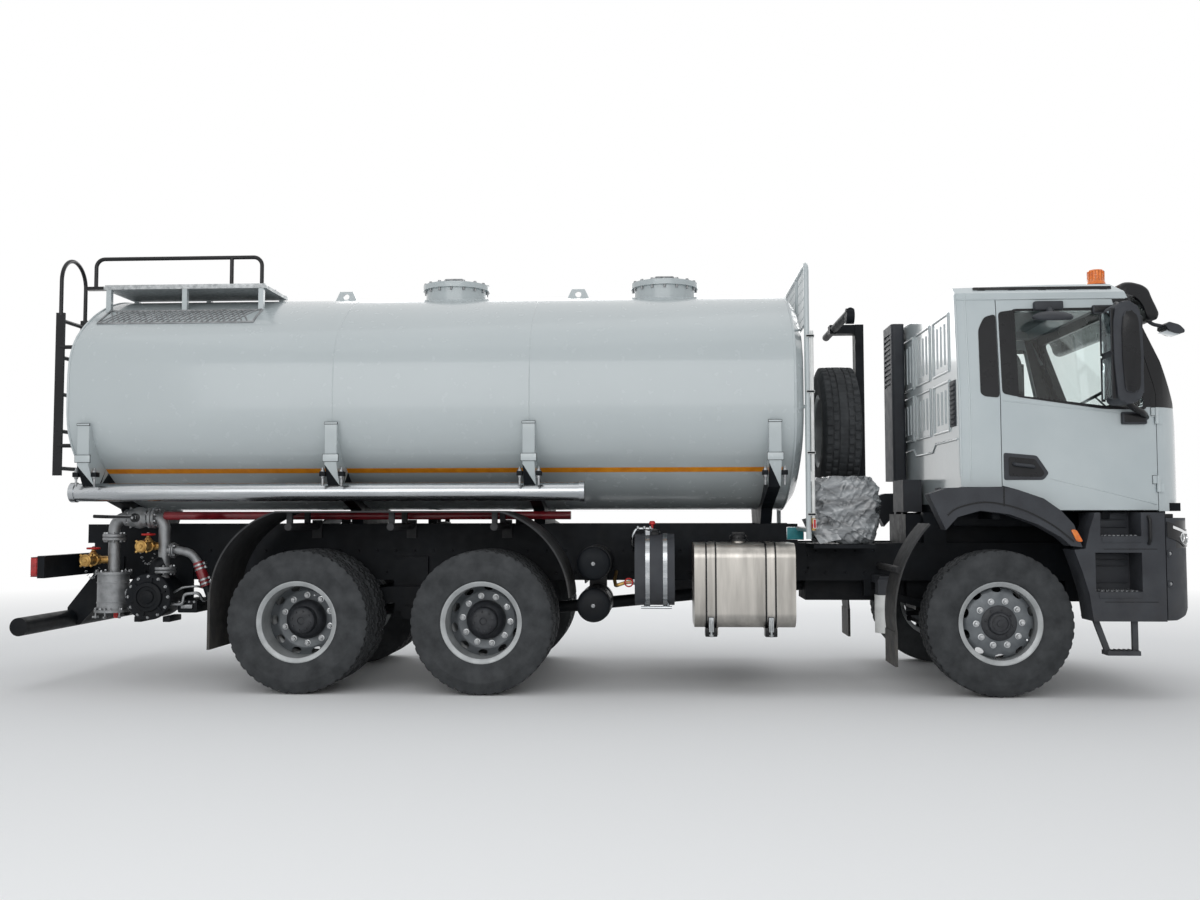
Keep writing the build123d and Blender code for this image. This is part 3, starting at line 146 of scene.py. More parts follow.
# dark and light tone, patch size, roughness range and the rest; a bump has strength, scale and depth
looks = {
    "tankPaint": ((179, 187, 189), (184, 192, 194), 0.6, (0.24, 0.28), {"coat": 0.4}),
    "cabPaint": ((180, 190, 193), (192, 201, 203), 1.4, (0.18, 0.26),
                 {"coat": 0.7, "bump": (0.04, 320, 0.0006)}),
    "chassisBlack": ((11, 14, 18), (21, 25, 30), 5, (0.4, 0.58),
                     {"shine": 0.16, "dusty": 0.06, "bump": (0.06, 160, 0.002)}),
    "trimBlack": ((47, 49, 54), (61, 64, 69), 7, (0.48, 0.66),
                  {"shine": 0.4, "dusty": 0.12, "bump": (0.22, 520, 0.0008)}),
    "gloveBlack": ((16, 17, 19), (27, 28, 31), 4, (0.24, 0.38), {"shine": 0.3, "coat": 0.1}),
    "tyreRubber": ((46, 48, 50), (66, 68, 70), 9, (0.68, 0.86), {"bump": (0.18, 210, 0.001), "shine": 0.35}),
    "rimSilver": ((146, 149, 150), (176, 179, 180), 8, (0.34, 0.52),
                  {"metal": 0.35, "bump": (0.06, 190, 0.002)}),
    "wheelNut": ((176, 178, 180), (214, 216, 217), 40, (0.24, 0.36), {"metal": 0.7}),
    # darker copy of the rim silver for the wheel discs: painted shade, not a paint of their own
    "discPaintedShade": ((88, 93, 97), (116, 120, 123), 10, (0.36, 0.54), {"metal": 0.3, "bump": (0.06, 190, 0.002)}),
    "hubBlack": ((30, 32, 36), (52, 54, 58), 18, (0.42, 0.62), {"bump": (0.16, 130, 0.002)}),
    "nutSteel": ((120, 122, 124), (164, 166, 168), 40, (0.3, 0.46), {"metal": 0.9}),
    "brightSteel": ((158, 162, 166), (190, 193, 195), 6, (0.2, 0.3),
                    {"stretch": (0.3, 5, 5), "metal": 1, "bump": (0.012, 60, 0.002)}),
    "castGrey": ((120, 122, 124), (160, 162, 164), 14, (0.42, 0.62),
                 {"metal": 0.75, "bump": (0.24, 150, 0.0012)}),
    "millAluminium": ((152, 149, 144), (194, 190, 184), 5, (0.3, 0.42),
                      {"stretch": (2.4, 2.4, 0.25), "metal": 0.92, "bump": (0.03, 40, 0.002)}),
    "galvanised": ((150, 154, 156), (196, 199, 200), 30, (0.4, 0.6),
                   {"metal": 0.6, "bump": (0.08, 120, 0.002)}),
    "brassCast": ((146, 112, 62), (204, 168, 104), 24, (0.32, 0.52),
                  {"metal": 0.9, "bump": (0.14, 140, 0.002)}),
    "redPaint": ((96, 16, 24), (134, 26, 36), 8, (0.3, 0.46), {"coat": 0.3}),
    "wheelRed": ((150, 20, 20), (196, 34, 30), 30, (0.35, 0.5), {}),
    "stripeOrange": ((206, 122, 18), (232, 150, 34), 12, (0.34, 0.46), {"bump": (0.1, 420, 0.0006)}),
    "amberLens": ((214, 96, 14), (244, 136, 30), 26, (0.1, 0.2), {"clear": 0.25, "coat": 0.6, "glow": 0.12}),
    "redLens": ((150, 12, 12), (206, 24, 20), 30, (0.1, 0.2), {"clear": 0.2, "coat": 0.6}),
    "clearLens": ((196, 204, 208), (232, 236, 238), 24, (0.03, 0.08), {"clear": 0.75, "coat": 0.5}),
    "lampChrome": ((196, 198, 200), (232, 233, 234), 12, (0.05, 0.12), {"metal": 1}),
    "windowGlass": ((232, 240, 239), (241, 246, 245), 1.2, (0.01, 0.03),
                    {"clear": 1, "bend": 1.02, "coat": 0.6, "coatRough": 0.03}),
    "mirrorGlass": ((176, 184, 188), (202, 208, 211), 3, (0.02, 0.05), {"metal": 1}),
    "whitePlastic": ((206, 208, 206), (232, 233, 231), 12, (0.36, 0.5), {}),
    "tealPaint": ((18, 112, 120), (34, 142, 150), 12, (0.34, 0.48), {}),
    "seatCloth": ((40, 42, 46), (66, 68, 72), 220, (0.8, 0.94), {"bump": (0.35, 900, 0.001), "sheen": 0.3}),
    "bundleFilm": ((48, 51, 54), (176, 180, 183), 9, (0.1, 0.24),
                   {"stretch": (0.5, 1, 1.6), "coat": 0.9, "bump": (0.12, 14, 0.006)}),
    "flapRubber": ((34, 35, 37), (50, 51, 53), 10, (0.6, 0.78), {"dusty": 0.35, "bump": (0.12, 160, 0.002)}),
}
finishes = {name: makeFinish(name, *look) for name, look in looks.items()}
print("finishes ready:", len(finishes))

up, forward, rightward = (0, 0, 1), (1, 0, 0), (0, -1, 0)
sides = {"right": -1, "left": 1}


def aim(at, axis, spin=0):  # a place whose local Z runs along the axis
    turn = Vector(axis).to_track_quat("Z", "Y").to_matrix().to_4x4()
    return Matrix.Translation(at) @ turn @ Matrix.Rotation(spin, 4, "Z")


def oval(place, wide, tall, steps, height=0):  # points round local Z
    angles = [2 * pi * step / steps for step in range(steps)]
    return [place @ Vector((wide * cos(angle), tall * sin(angle), height)) for angle in angles]


def lathe(bm, profile, place, steps=32, paint=0, loop=False):  # profile of (radius, height) round local Z
    rings = []
    for radius, height in profile:
        if radius < 1e-6:
            rings.append([bm.verts.new(place @ Vector((0, 0, height)))])
            continue
        rings.append([bm.verts.new(spot) for spot in oval(place, radius, radius, steps, height)])
    pairs = list(zip(rings, rings[1:]))
    if loop:
        pairs.append((rings[-1], rings[0]))
    for first, second in pairs:
        for step in range(steps):
            after = (step + 1) % steps
            corners = []
            for ring, index in ((first, step), (first, after), (second, after), (second, step)):
                vert = ring[index % len(ring)]
                if vert not in corners:
                    corners.append(vert)
            if len(corners) > 2:
                bm.faces.new(corners).material_index = paint


def tube(bm, path, radius, facets=12, paint=0, closed=False):  # round bar along a list of points
    points = [Vector(point) for point in path]
    count = len(points)
    rings = []
    side = None
    for index, point in enumerate(points):
        before = points[index - 1] if index or closed else point
        after = points[(index + 1) % count] if index < count - 1 or closed else point
        run = ((after - point).normalized() + (point - before).normalized()).normalized()
        if side is None:
            side = run.orthogonal().normalized()
        side = (side - run * side.dot(run)).normalized()
        other = run.cross(side)
        spread = radius
        if point != before and point != after:
            half = (point - before).normalized().angle((after - point).normalized(), 0) / 2
            spread = radius / max(0.6, cos(half))
        ring = []
        for step in range(facets):
            angle = 2 * pi * step / facets
            ring.append(bm.verts.new(point + (side * cos(angle) + other * sin(angle)) * spread))
        rings.append(ring)
    pairs = list(zip(rings, rings[1:]))
    if closed:
        pairs.append((rings[-1], rings[0]))
    for first, second in pairs:
        shift = 0
        if closed and first is rings[-1]:  # the frame may have turned on the way round
            shift = min(range(facets), key=lambda turn: (second[turn].co - first[0].co).length)
        for step in range(facets):
            after = (step + 1) % facets
            bm.faces.new((first[step], first[after], second[(after + shift) % facets],
                          second[(step + shift) % facets])).material_index = paint
    if not closed:
        for ring in (rings[0], rings[-1]):
            bm.faces.new(ring).material_index = paint


def joinRings(bm, rings, paint=0, loop=False):  # skin over rings of points, capped unless it closes on itself
    for index in range(len(rings) if loop else len(rings) - 1):
        first, second = rings[index], rings[(index + 1) % len(rings)]
        for corner in range(len(first)):
            after = (corner + 1) % len(first)
            bm.faces.new((first[corner], first[after], second[after], second[corner])).material_index = paint
    if not loop:
        for ring in (rings[0], rings[-1]):
            bm.faces.new(ring).material_index = paint


def slab(bm, low, high, edge=0.004, paint=0, place=None):  # block with softened edges
    size = [abs(b - a) for a, b in zip(low, high)]
    middle = Vector([(a + b) / 2 for a, b in zip(low, high)])
    made = bmesh.ops.create_cube(bm, size=1, matrix=Matrix.Translation(middle) @ Matrix.Diagonal((*size, 1)))
    faces = dict.fromkeys(face for vert in made["verts"] for face in vert.link_faces)  # each once, in order
    for face in faces:
        face.material_index = paint
    if edge:
        edges = list(dict.fromkeys(line for face in faces for line in face.edges))
        done = bmesh.ops.bevel(bm, geom=edges, offset=min(edge, min(size) * 0.3), segments=2, profile=0.6,
                               affect="EDGES")
        faces = dict.fromkeys(face for vert in done["verts"] for face in vert.link_faces)
    if place is not None:
        corners = list(dict.fromkeys(vert for face in faces for vert in face.verts))
        bmesh.ops.transform(bm, matrix=place, verts=corners)


def plate(bm, outline, thick, place, paint=0, edge=0.0):  # flat outline in local X,Y, thickened along local Z
    low = [bm.verts.new(place @ Vector((x, y, 0))) for x, y in outline]
    high = [bm.verts.new(place @ Vector((x, y, thick))) for x, y in outline]
    faces = [bm.faces.new(low), bm.faces.new(high)]
    for index in range(len(outline)):
        after = (index + 1) % len(outline)
        faces.append(bm.faces.new((low[index], low[after], high[after], high[index])))
    for face in faces:
        face.material_index = paint
    if edge:
        bmesh.ops.bevel(bm, geom=list(faces[1].edges), offset=edge, segments=2, profile=0.6, affect="EDGES")


def upright(y, sign=1):  # an outline's X,Y stand as X,Z at this Y, and it is thickened along Y
    return Matrix(((1, 0, 0, 0), (0, 0, sign, y), (0, 1, 0, 0), (0, 0, 0, 1)))


def hexBolt(bm, at, axis, size=0.012, height=0.01, paint=0, spin=0.0):
    place = aim(at, axis, spin)
    lathe(bm, ((0, 0), (size * 1.45, 0), (size * 1.45, height * 0.18), (size, height * 0.22)), place, 16,
          paint)
    lathe(bm, ((size * 1.12, height * 0.18), (size * 1.12, height * 0.85), (size * 0.95, height),
               (0, height)), place, 6, paint)


def easedCorner(before, here, after, radius, steps):  # points of an arc in place of a corner
    behind, ahead = before - here, after - here
    reach = min(radius, behind.length * 0.45, ahead.length * 0.45)
    start, end = here + behind.normalized() * reach, here + ahead.normalized() * reach
    shares = [step / steps for step in range(steps + 1)]
    return [start.lerp(here, share).lerp(here.lerp(end, share), share) for share in shares]


def roundedPath(points, radius, steps=5):  # corners of a bent bar eased into arcs
    points = [Vector(point) for point in points]
    eased = [points[0]]
    for before, here, after in zip(points, points[1:], points[2:]):
        eased += easedCorner(before, here, after, radius, steps)
    return eased + [points[-1]]


def easedOutline(points, radius, steps=4):  # corners of a flat outline rounded
    flat = [Vector((x, z, 0)) for x, z in points]
    eased = []
    for index, here in enumerate(flat):
        eased += easedCorner(flat[index - 1], here, flat[(index + 1) % len(flat)], radius, steps)
    return [(spot.x, spot.y) for spot in eased]


def meshOf(name, bm):  # the shape in work becomes mesh data
    bmesh.ops.recalc_face_normals(bm, faces=bm.faces[:])
    mesh = bpy.data.meshes.new(name)
    bm.to_mesh(mesh)
    bm.free()
    return mesh


def finishPiece(name, bm, paints, body="chassis", sharp=35, replaced=()):
    bmesh.ops.remove_doubles(bm, verts=bm.verts[:], dist=1e-6)
    meshPiece(name, meshOf(name, bm), paints, body, sharp, replaced)


def meshPiece(name, mesh, paints, body, sharp=35, replaced=()):
    for paint in paints:
        mesh.materials.append(finishes[paint])
    mesh.polygons.foreach_set("use_smooth", [True] * len(mesh.polygons))
    mesh.set_sharp_from_angle(angle=radians(sharp))
    piece = bpy.data.objects.new(name, mesh)
    scene.collection.objects.link(piece)
    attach(piece, body)
    if replaced:
        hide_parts(*replaced)
    return piece


crispAngle = 32  # facets that meet more steeply keep a crisp edge


def dressNode(name, paints, pick=None):  # finish and smooth shading of a solid that stays in view
    solid = nodes[name]
    mesh = solid.data
    if "custom_normal" in mesh.attributes:
        mesh.attributes.remove(mesh.attributes["custom_normal"])
    mesh.materials.clear()
    for paint in paints:
        mesh.materials.append(finishes[paint])
    mesh.polygons.foreach_set("use_smooth", [True] * len(mesh.polygons))
    for face in mesh.polygons:
        face.material_index = pick(face.center) if pick else 0
    weld = solid.modifiers.new("joinedFacets", "WELD")
    weld.merge_threshold = 0.00002
    crisp = solid.modifiers.new("crispEdges", "EDGE_SPLIT")
    crisp.split_angle = radians(crispAngle)


def sideHit(wall, sign, x, z):  # where a ray from the right or the left meets a solid
    return wall.ray_cast(Vector((x, sign * 3, z)), Vector((0, -sign, 0)))[0]


def surfaceOf(name):  # ray casting onto one solid
    mesh = nodes[name].data
    return BVHTree.FromPolygons([vert.co for vert in mesh.vertices],
                                [face.vertices for face in mesh.polygons])


# camera, fitted to the photograph's wheels, tank and cab
lens = {"at": (0.525, -9.7615, 1.3401), "yaw": 0.0532, "pitch": 0.0562, "roll": -0.0014, "focal": 1148,
        "wide": 1200}


def placeCamera():
    data = bpy.data.cameras.new("photoCamera")
    data.sensor_width = 36
    data.lens = lens["focal"] / lens["wide"] * data.sensor_width
    data.clip_end = 200
    camera = bpy.data.objects.new("photoCamera", data)
    turn = Matrix.Rotation(lens["yaw"], 4, "Z") @ Matrix.Rotation(pi / 2 + lens["pitch"], 4, "X")
    camera.matrix_world = Matrix.Translation(lens["at"]) @ turn @ Matrix.Rotation(lens["roll"], 4, "Z")
    scene.collection.objects.link(camera)
    scene.camera = camera


placeCamera()

studio = {
    "ambient": 0.58,
    "lamps": (  # name, place, target, width, depth, power
        ("overheadSoftbox", (0.5, -1.0, 10.0), (0, 0, 1.5), 15, 7, 145),
        ("frontSoftbox", (-1.0, -11.0, 4.5), (0, 0, 1.4), 12, 5, 350),
        ("rearSoftbox", (0.5, 11.0, 6.5), (0, 0, 1.4), 12, 5, 330),
    ),
    "floorSize": 60, "floorNear": 6.5, "floorFar": 15.0, "floorTone": (0.86, 0.865, 0.87, 1),
}


def lightStudio():
    world = bpy.data.worlds.new("studioWorld")
    scene.world = world
    world.use_nodes = True
    tree = world.node_tree
    soft = tree.nodes["Background"]
    soft.inputs["Color"].default_value = (0.96, 0.98, 1, 1)
    soft.inputs["Strength"].default_value = studio["ambient"]
    seen = addNode(tree, "ShaderNodeBackground")
    seen.inputs["Color"].default_value = (1, 1, 1, 1)
    mixShaders(tree, seenRays(tree), soft.outputs[0], seen.outputs[0], "World Output")
    for name, at, target, wide, deep, power in studio["lamps"]:
        data = bpy.data.lights.new(name, "AREA")
        data.shape = "RECTANGLE"
        data.size, data.size_y, data.energy = wide, deep, power
        lamp = bpy.data.objects.new(name, data)
        lamp.location = at
        lamp.rotation_euler = (Vector(target) - Vector(at)).to_track_quat("-Z", "Y").to_euler()
        scene.collection.objects.link(lamp)


def seenRays(tree):  # 1 on the rays that see the backdrop, directly or in gloss and glass
    rays = addNode(tree, "ShaderNodeLightPath")
    total = rays.outputs["Is Camera Ray"]
    for key in ("Is Glossy Ray", "Is Transmission Ray"):
        total = compute(tree, "MAXIMUM", total, rays.outputs[key])
    return total


def layFloor():
    bm = bmesh.new()
    bmesh.ops.create_grid(bm, x_segments=4, y_segments=4, size=studio["floorSize"])
    mesh = bpy.data.meshes.new("studioFloor")
    bm.to_mesh(mesh)
    bm.free()
    floor = bpy.data.objects.new("studioFloor", mesh)
    floor.location.z = -0.001
    scene.collection.objects.link(floor)
    material = bpy.data.materials.new("studioFloor")
    material.use_nodes = True
    tree = material.node_tree
    shader = tree.nodes["Principled BSDF"]
    shader.inputs["Base Color"].default_value = studio["floorTone"]
    shader.inputs["Roughness"].default_value = 0.9
    white = addNode(tree, "ShaderNodeEmission")
    away = addNode(tree, "ShaderNodeVectorMath", operation="LENGTH")
    tree.links.new(addNode(tree, "ShaderNodeTexCoord").outputs["Object"], away.inputs[0])
    fade = remap(tree, away.outputs["Value"], 0, 1, studio["floorNear"], studio["floorFar"])
    shown = compute(tree, "MULTIPLY", fade, seenRays(tree))
    mixShaders(tree, shown, shader.outputs[0], white.outputs[0], "Material Output")
    mesh.materials.append(material)


lightStudio()
layFloor()
print("camera, light and floor set")

# tyres, with shoulder lugs and tread grooves cut into one turned profile
tyre = {"radius": 0.538, "lugs": 44, "stepsPerLug": 6, "groove": 0.013, "scallop": 0.007,
        "twinSpacing": 0.351, "treadHalf": 0.123, "crown": 0.0035, "flankFrom": 0.5, "shoulder": 0.125,
        "inner": (0.0305, 0.042), "outer": (0.0795, 0.091)}
# half section from the bead to the tread edge: across, radius
tyreSide = (
    (0.118, 0.292), (0.13, 0.298), (0.139, 0.303), (0.145, 0.316), (0.1475, 0.318), (0.149, 0.33),
    (0.1535, 0.35), (0.1565, 0.382), (0.1575, 0.412), (0.157, 0.436), (0.158, 0.44), (0.1578, 0.449),
    (0.156, 0.453), (0.152, 0.478), (0.148, 0.49), (0.144, 0.506), (0.138, 0.52), (0.131, 0.5325),
)
treadColumns = (0.123, 0.092, 0.0905, 0.08, 0.0785, 0.043, 0.0415, 0.031, 0.0295, 0.0)


def tyreSection():
    half = list(tyreSide)
    for across in treadColumns:
        half.append((across, tyre["radius"] - tyre["crown"] * (across / tyre["treadHalf"]) ** 2))
    return half + [(-across, radius) for across, radius in reversed(half[:-1])]


def treadDepth(across, radius, phase):
    away = abs(across)
    (innerLow, innerHigh), (outerLow, outerHigh) = tyre["inner"], tyre["outer"]
    if radius < tyre["flankFrom"]:
        return 0
    if away > tyre["shoulder"]:
        return tyre["scallop"] if phase < 2 else 0
    if outerLow < away < outerHigh or innerLow < away < innerHigh:  # grooves round the tyre
        return tyre["groove"]
    if away >= outerHigh:
        return tyre["groove"] if phase < 2 else 0
    if away > innerHigh:
        return tyre["groove"] * 0.8 if phase in (3, 4) else 0
    return tyre["groove"] * 0.5 if phase == 0 else 0


def turnTyre(bm, middle):
    section = tyreSection()
    steps = tyre["lugs"] * tyre["stepsPerLug"]
    rings = []
    for step in range(steps):
        angle = 2 * pi * step / steps
        ring = []
        for across, radius in section:
            phase = (step + (3 if across < 0 else 0)) % tyre["stepsPerLug"]
            reach = radius - treadDepth(across, radius, phase)
            ring.append(bm.verts.new((reach * cos(angle), middle + across, reach * sin(angle))))
        rings.append(ring)
    count = len(section)
    for step in range(steps):
        here, after = rings[step], rings[(step + 1) % steps]
        for index in range(count):
            onward = (index + 1) % count
            bm.faces.new((here[index], after[index], after[onward], here[onward]))


def tyreMesh(name, middles):
    bm = bmesh.new()
    for middle in middles:
        turnTyre(bm, middle)
    return meshOf(name, bm)


# rims: hand holes through the disc, nuts round a dark hub and the valve's stem; local -Y faces outwards
rim = {"holes": 10, "holeLong": 0.036, "holeTall": 0.02, "holeCircle": 0.246, "nuts": 10, "nutSize": 0.0165,
       "steps": 80}
rimBarrel = (
    (0.2845, -0.128), (0.298, -0.131), (0.312, -0.133), (0.314, -0.137), (0.308, -0.14), (0.296, -0.14),
    (0.27, -0.126), (0.264, -0.05), (0.264, 0.05), (0.27, 0.126), (0.296, 0.14), (0.308, 0.14),
    (0.314, 0.137), (0.312, 0.133), (0.298, 0.131), (0.2845, 0.128),
)
rimKinds = {
    "front": {"barrels": (0.0,), "nutBase": 0.092, "nutCircle": 0.166, "capScrews": (0.103, 0.102),
              "stem": ((0.236, -0.05), (0.236, -0.085), (0.228, -0.11)),
              "disc": ((0.27, 0.036), (0.262, 0.056), (0.246, 0.074), (0.228, 0.084), (0.206, 0.088),
                       (0.196, 0.092), (0.12, 0.092), (0.12, 0.076), (0.198, 0.076), (0.222, 0.07),
                       (0.238, 0.06), (0.252, 0.044), (0.258, 0.03)),
              "hub": ((0, 0.13), (0.022, 0.13), (0.024, 0.122), (0.056, 0.12), (0.06, 0.128), (0.074, 0.126),
                      (0.082, 0.116), (0.086, 0.104), (0.12, 0.102), (0.13, 0.096), (0.132, 0.072),
                      (0, 0.072))},
    "twin": {"barrels": (-0.1755, 0.1755), "nutBase": 0.036, "nutCircle": 0.184, "capScrews": (0.072, 0.199),
             "stem": ((0.246, -0.2), (0.24, -0.24), (0.232, -0.27)),
             "disc": ((0.268, 0.126), (0.26, 0.102), (0.248, 0.078), (0.234, 0.056), (0.222, 0.04),
                      (0.212, 0.036), (0.12, 0.036), (0.12, 0.018), (0.216, 0.018), (0.23, 0.03),
                      (0.244, 0.054), (0.256, 0.078), (0.272, 0.112)),
             "hub": ((0, 0.196), (0.024, 0.196), (0.028, 0.204), (0.06, 0.203), (0.084, 0.198),
                     (0.098, 0.186), (0.106, 0.136), (0.132, 0.12), (0.144, 0.098), (0.15, 0.066),
                     (0.15, 0.016), (0, 0.016))},
}


def rimMesh(name, kind):
    outward = aim((0, 0, 0), rightward)
    bm = bmesh.new()
    lathe(bm, kind["disc"], outward, rim["steps"], 0, True)
    disc = bpy.data.objects.new("rimDisc", meshOf("rimDisc", bm))
    bm = bmesh.new()
    for hole in range(rim["holes"]):
        angle = 2 * pi * (hole + 0.5) / rim["holes"]
        at = (rim["holeCircle"] * cos(angle), 0, rim["holeCircle"] * sin(angle))
        place = Matrix.Translation(at) @ Matrix.Rotation(-angle, 4, "Y") @ Matrix.Rotation(pi / 2, 4, "X")
        squash = Matrix.Diagonal((rim["holeTall"], rim["holeLong"], 1, 1))
        lathe(bm, ((0, -0.4), (1, -0.4), (1, 0.4), (0, 0.4)), place @ squash, 24)
    drill = bpy.data.objects.new("rimDrill", meshOf("rimDrill", bm))
    for helper in (disc, drill):
        scene.collection.objects.link(helper)
    cut = disc.modifiers.new("handHoles", "BOOLEAN")
    cut.object, cut.operation, cut.solver = drill, "DIFFERENCE", "EXACT"
    bpy.context.view_layer.update()
    cutDisc = bpy.data.meshes.new_from_object(disc.evaluated_get(bpy.context.evaluated_depsgraph_get()))
    bm = bmesh.new()
    bm.from_mesh(cutDisc)
    # the cut disc takes paint 3, the rim silver darkened as painted shade
    for face in bm.faces:
        face.material_index = 3
    for middle in kind["barrels"]:
        lathe(bm, [(radius, middle + across) for radius, across in rimBarrel], outward, rim["steps"], 0, True)
    lathe(bm, kind["hub"], outward, 48, 1)
    for nut in range(rim["nuts"]):
        angle = 2 * pi * nut / rim["nuts"]
        reach = kind["nutCircle"]
        at = Vector((reach * cos(angle), -kind["nutBase"], reach * sin(angle)))
        hexBolt(bm, at, rightward, rim["nutSize"], 0.026, 2, angle)
        lathe(bm, ((0.0085, 0.02), (0.0085, 0.036), (0.006, 0.038), (0, 0.038)), aim(at, rightward), 10, 2)
    reach, base = kind["capScrews"]
    for bolt in range(8):  # cap screws of the hub
        angle = 2 * pi * (bolt + 0.5) / 8
        at = (reach * cos(angle), -base, reach * sin(angle))
        hexBolt(bm, at, rightward, 0.007, 0.01, 1, angle)
    tube(bm, [(radius, across, 0.012) for radius, across in kind["stem"]], 0.006, 10, 2)
    mesh = meshOf(name, bm)
    for helper in (disc, drill):
        bpy.data.objects.remove(helper)
    return mesh


axleX = {"front": 3.002, "mid": -0.818, "rear": -2.213}
wheelY = {"front": 1.0225, "mid": 0.912, "rear": 0.912}
axleZ = 0.538
spareAt = (1.987, 0, 2.04)
# the last finish is the rim silver darkened for the discs, painted shade
rimPaints = ("rimSilver", "hubBlack", "wheelNut", "discPaintedShade")


def placeWheel(meshes, rimSolid, tyreSolid, body, matrix):
    for shape, name, paints, solid in ((meshes[0], tyreSolid + "_tread", ("tyreRubber",), tyreSolid),
                                       (meshes[1], rimSolid + "_dish", rimPaints, rimSolid)):
        own = shape.copy()
        own.transform(matrix)
        meshPiece(name, own, paints, body, 36, (solid,))


def fitWheels():
    meshes = {"front": (tyreMesh("frontTyre", (0,)), rimMesh("frontRim", rimKinds["front"])),
              "twin": (tyreMesh("twinTyre", (-tyre["twinSpacing"] / 2, tyre["twinSpacing"] / 2)),
                       rimMesh("twinRim", rimKinds["twin"]))}
    for row, x in axleX.items():
        kind = "front" if row == "front" else "twin"
        for side, sign in sides.items():
            turn = Matrix.Rotation(pi if sign > 0 else 0, 4, "Z") @ Matrix.Rotation(0.3 * (x + sign), 4, "Y")
            at = Matrix.Translation((x, sign * wheelY[row], axleZ)) @ turn
            placeWheel(meshes[kind], f"rim_{row}_{side}", f"tyre_{row}_{side}", f"wheel_{row}_{side}", at)
    spare = Matrix.Translation(spareAt) @ Matrix.Rotation(pi / 2, 4, "Z")
    placeWheel(meshes["front"], "spare_rim", "spare_tyre", "chassis", spare)


fitWheels()
print("wheels fitted")

# finishes of the solids that stay in view; in the mixed ones each facet picks its own
plainSolids = {
    "chassisBlack": ("frame_rails", "frame_brackets", "driveline", "front_axle", "rear_axles", "leaf_springs",
                     "pump_unit", "underrun_bar", "spare_carrier", "cab_floor", "knuckle_right",
                     "knuckle_left", "tie_rod"),
    "tankPaint": ("tank_shell", "front_guard"),
    "brightSteel": ("hose_tubes",),
    "redPaint": ("water_line",),
    "gloveBlack": ("ladder_and_rail",),
    "castGrey": ("pump_pipework",),
    "millAluminium": ("fuel_tank",),
    "trimBlack": ("side_boxes", "bumper", "entry_steps", "arch_flares", "air_intake"),
    "flapRubber": ("mudguards",),
    "cabPaint": ("cab_roof", "cab_back_panel", "door_right", "door_left"),
    "windowGlass": ("windscreen", "door_glass_right", "door_glass_left"),
}
mixedSolids = {
    "subframe": (("chassisBlack", "tankPaint"), lambda at: int(at.z > 1.62)),
    "tank_fittings": (("tankPaint", "galvanised"), lambda at: int(at.x < -2.6 and at.z > 3.165)),
    "brass_valves": (("brassCast", "wheelRed"), lambda at: int(at.z > (1.065 if at.x < -3.8 else 1.175))),
    "lamps": (("gloveBlack", "redLens"), lambda at: int(at.x < 0)),
    "reservoirs": (("trimBlack", "whitePlastic", "gloveBlack"),
                   lambda at: 1 if at.x > 2 and at.z < 0.721 else 2 if at.x < 0.2 else 0),
    "cab_front_panel": (("cabPaint", "trimBlack"), lambda at: int(at.z < 1.4 and abs(at.y) < 0.7)),
}
for paint, solidNames in plainSolids.items():
    for solidName in solidNames:
        dressNode(solidName, (paint,))
for solidName, (paints, pick) in mixedSolids.items():
    dressNode(solidName, paints, pick)
print("solids dressed")

tankWall = surfaceOf("tank_shell")
tankMiddle = 2.275  # height of the shell's long axis


# point and outward normal on the shell, round its long axis from the right side upwards
def onTank(x, around):
    out = Vector((0, -cos(around), sin(around)))
    return tankWall.ray_cast(Vector((x, 0, tankMiddle)) + out * 3, -out)[0], out


def tankSection(x, rise, count=96):
    ring = []
    for step in range(count):
        hit, out = onTank(x, 2 * pi * step / count)
        ring.append(hit + out * rise)
    return ring


# tank trim: weld seams, end beads, the coloured stripe, saddle pads' bolts and the shoulder's anti-slip mesh
tankTrim = {"seamX": (-1.961, -0.463), "seamBead": 0.005, "endX": (-4.018, 1.525), "endBead": 0.011,
            "stripeX": (-3.945, 1.452), "stripeZ": 1.684, "stripeTall": 0.034, "stripeRise": 0.002,
            "cradleX": (-3.876, -1.961, -0.463, 1.368), "meshX": (-3.93, -2.68), "meshY": (-0.74, -0.955),
            "meshPitch": 0.045, "meshRun": 0.13, "wire": 0.0055, "border": 0.008}
clamp = {"lowPad": (1.248, 1.74, 1.8), "highPad": (1.247, 2.022, 2.042), "lugY": 1.19, "boltY": 1.2,
         "boltX": (-0.072, 0.072), "lugZ": (1.632, 1.668), "boltZ": (1.56, 1.7)}


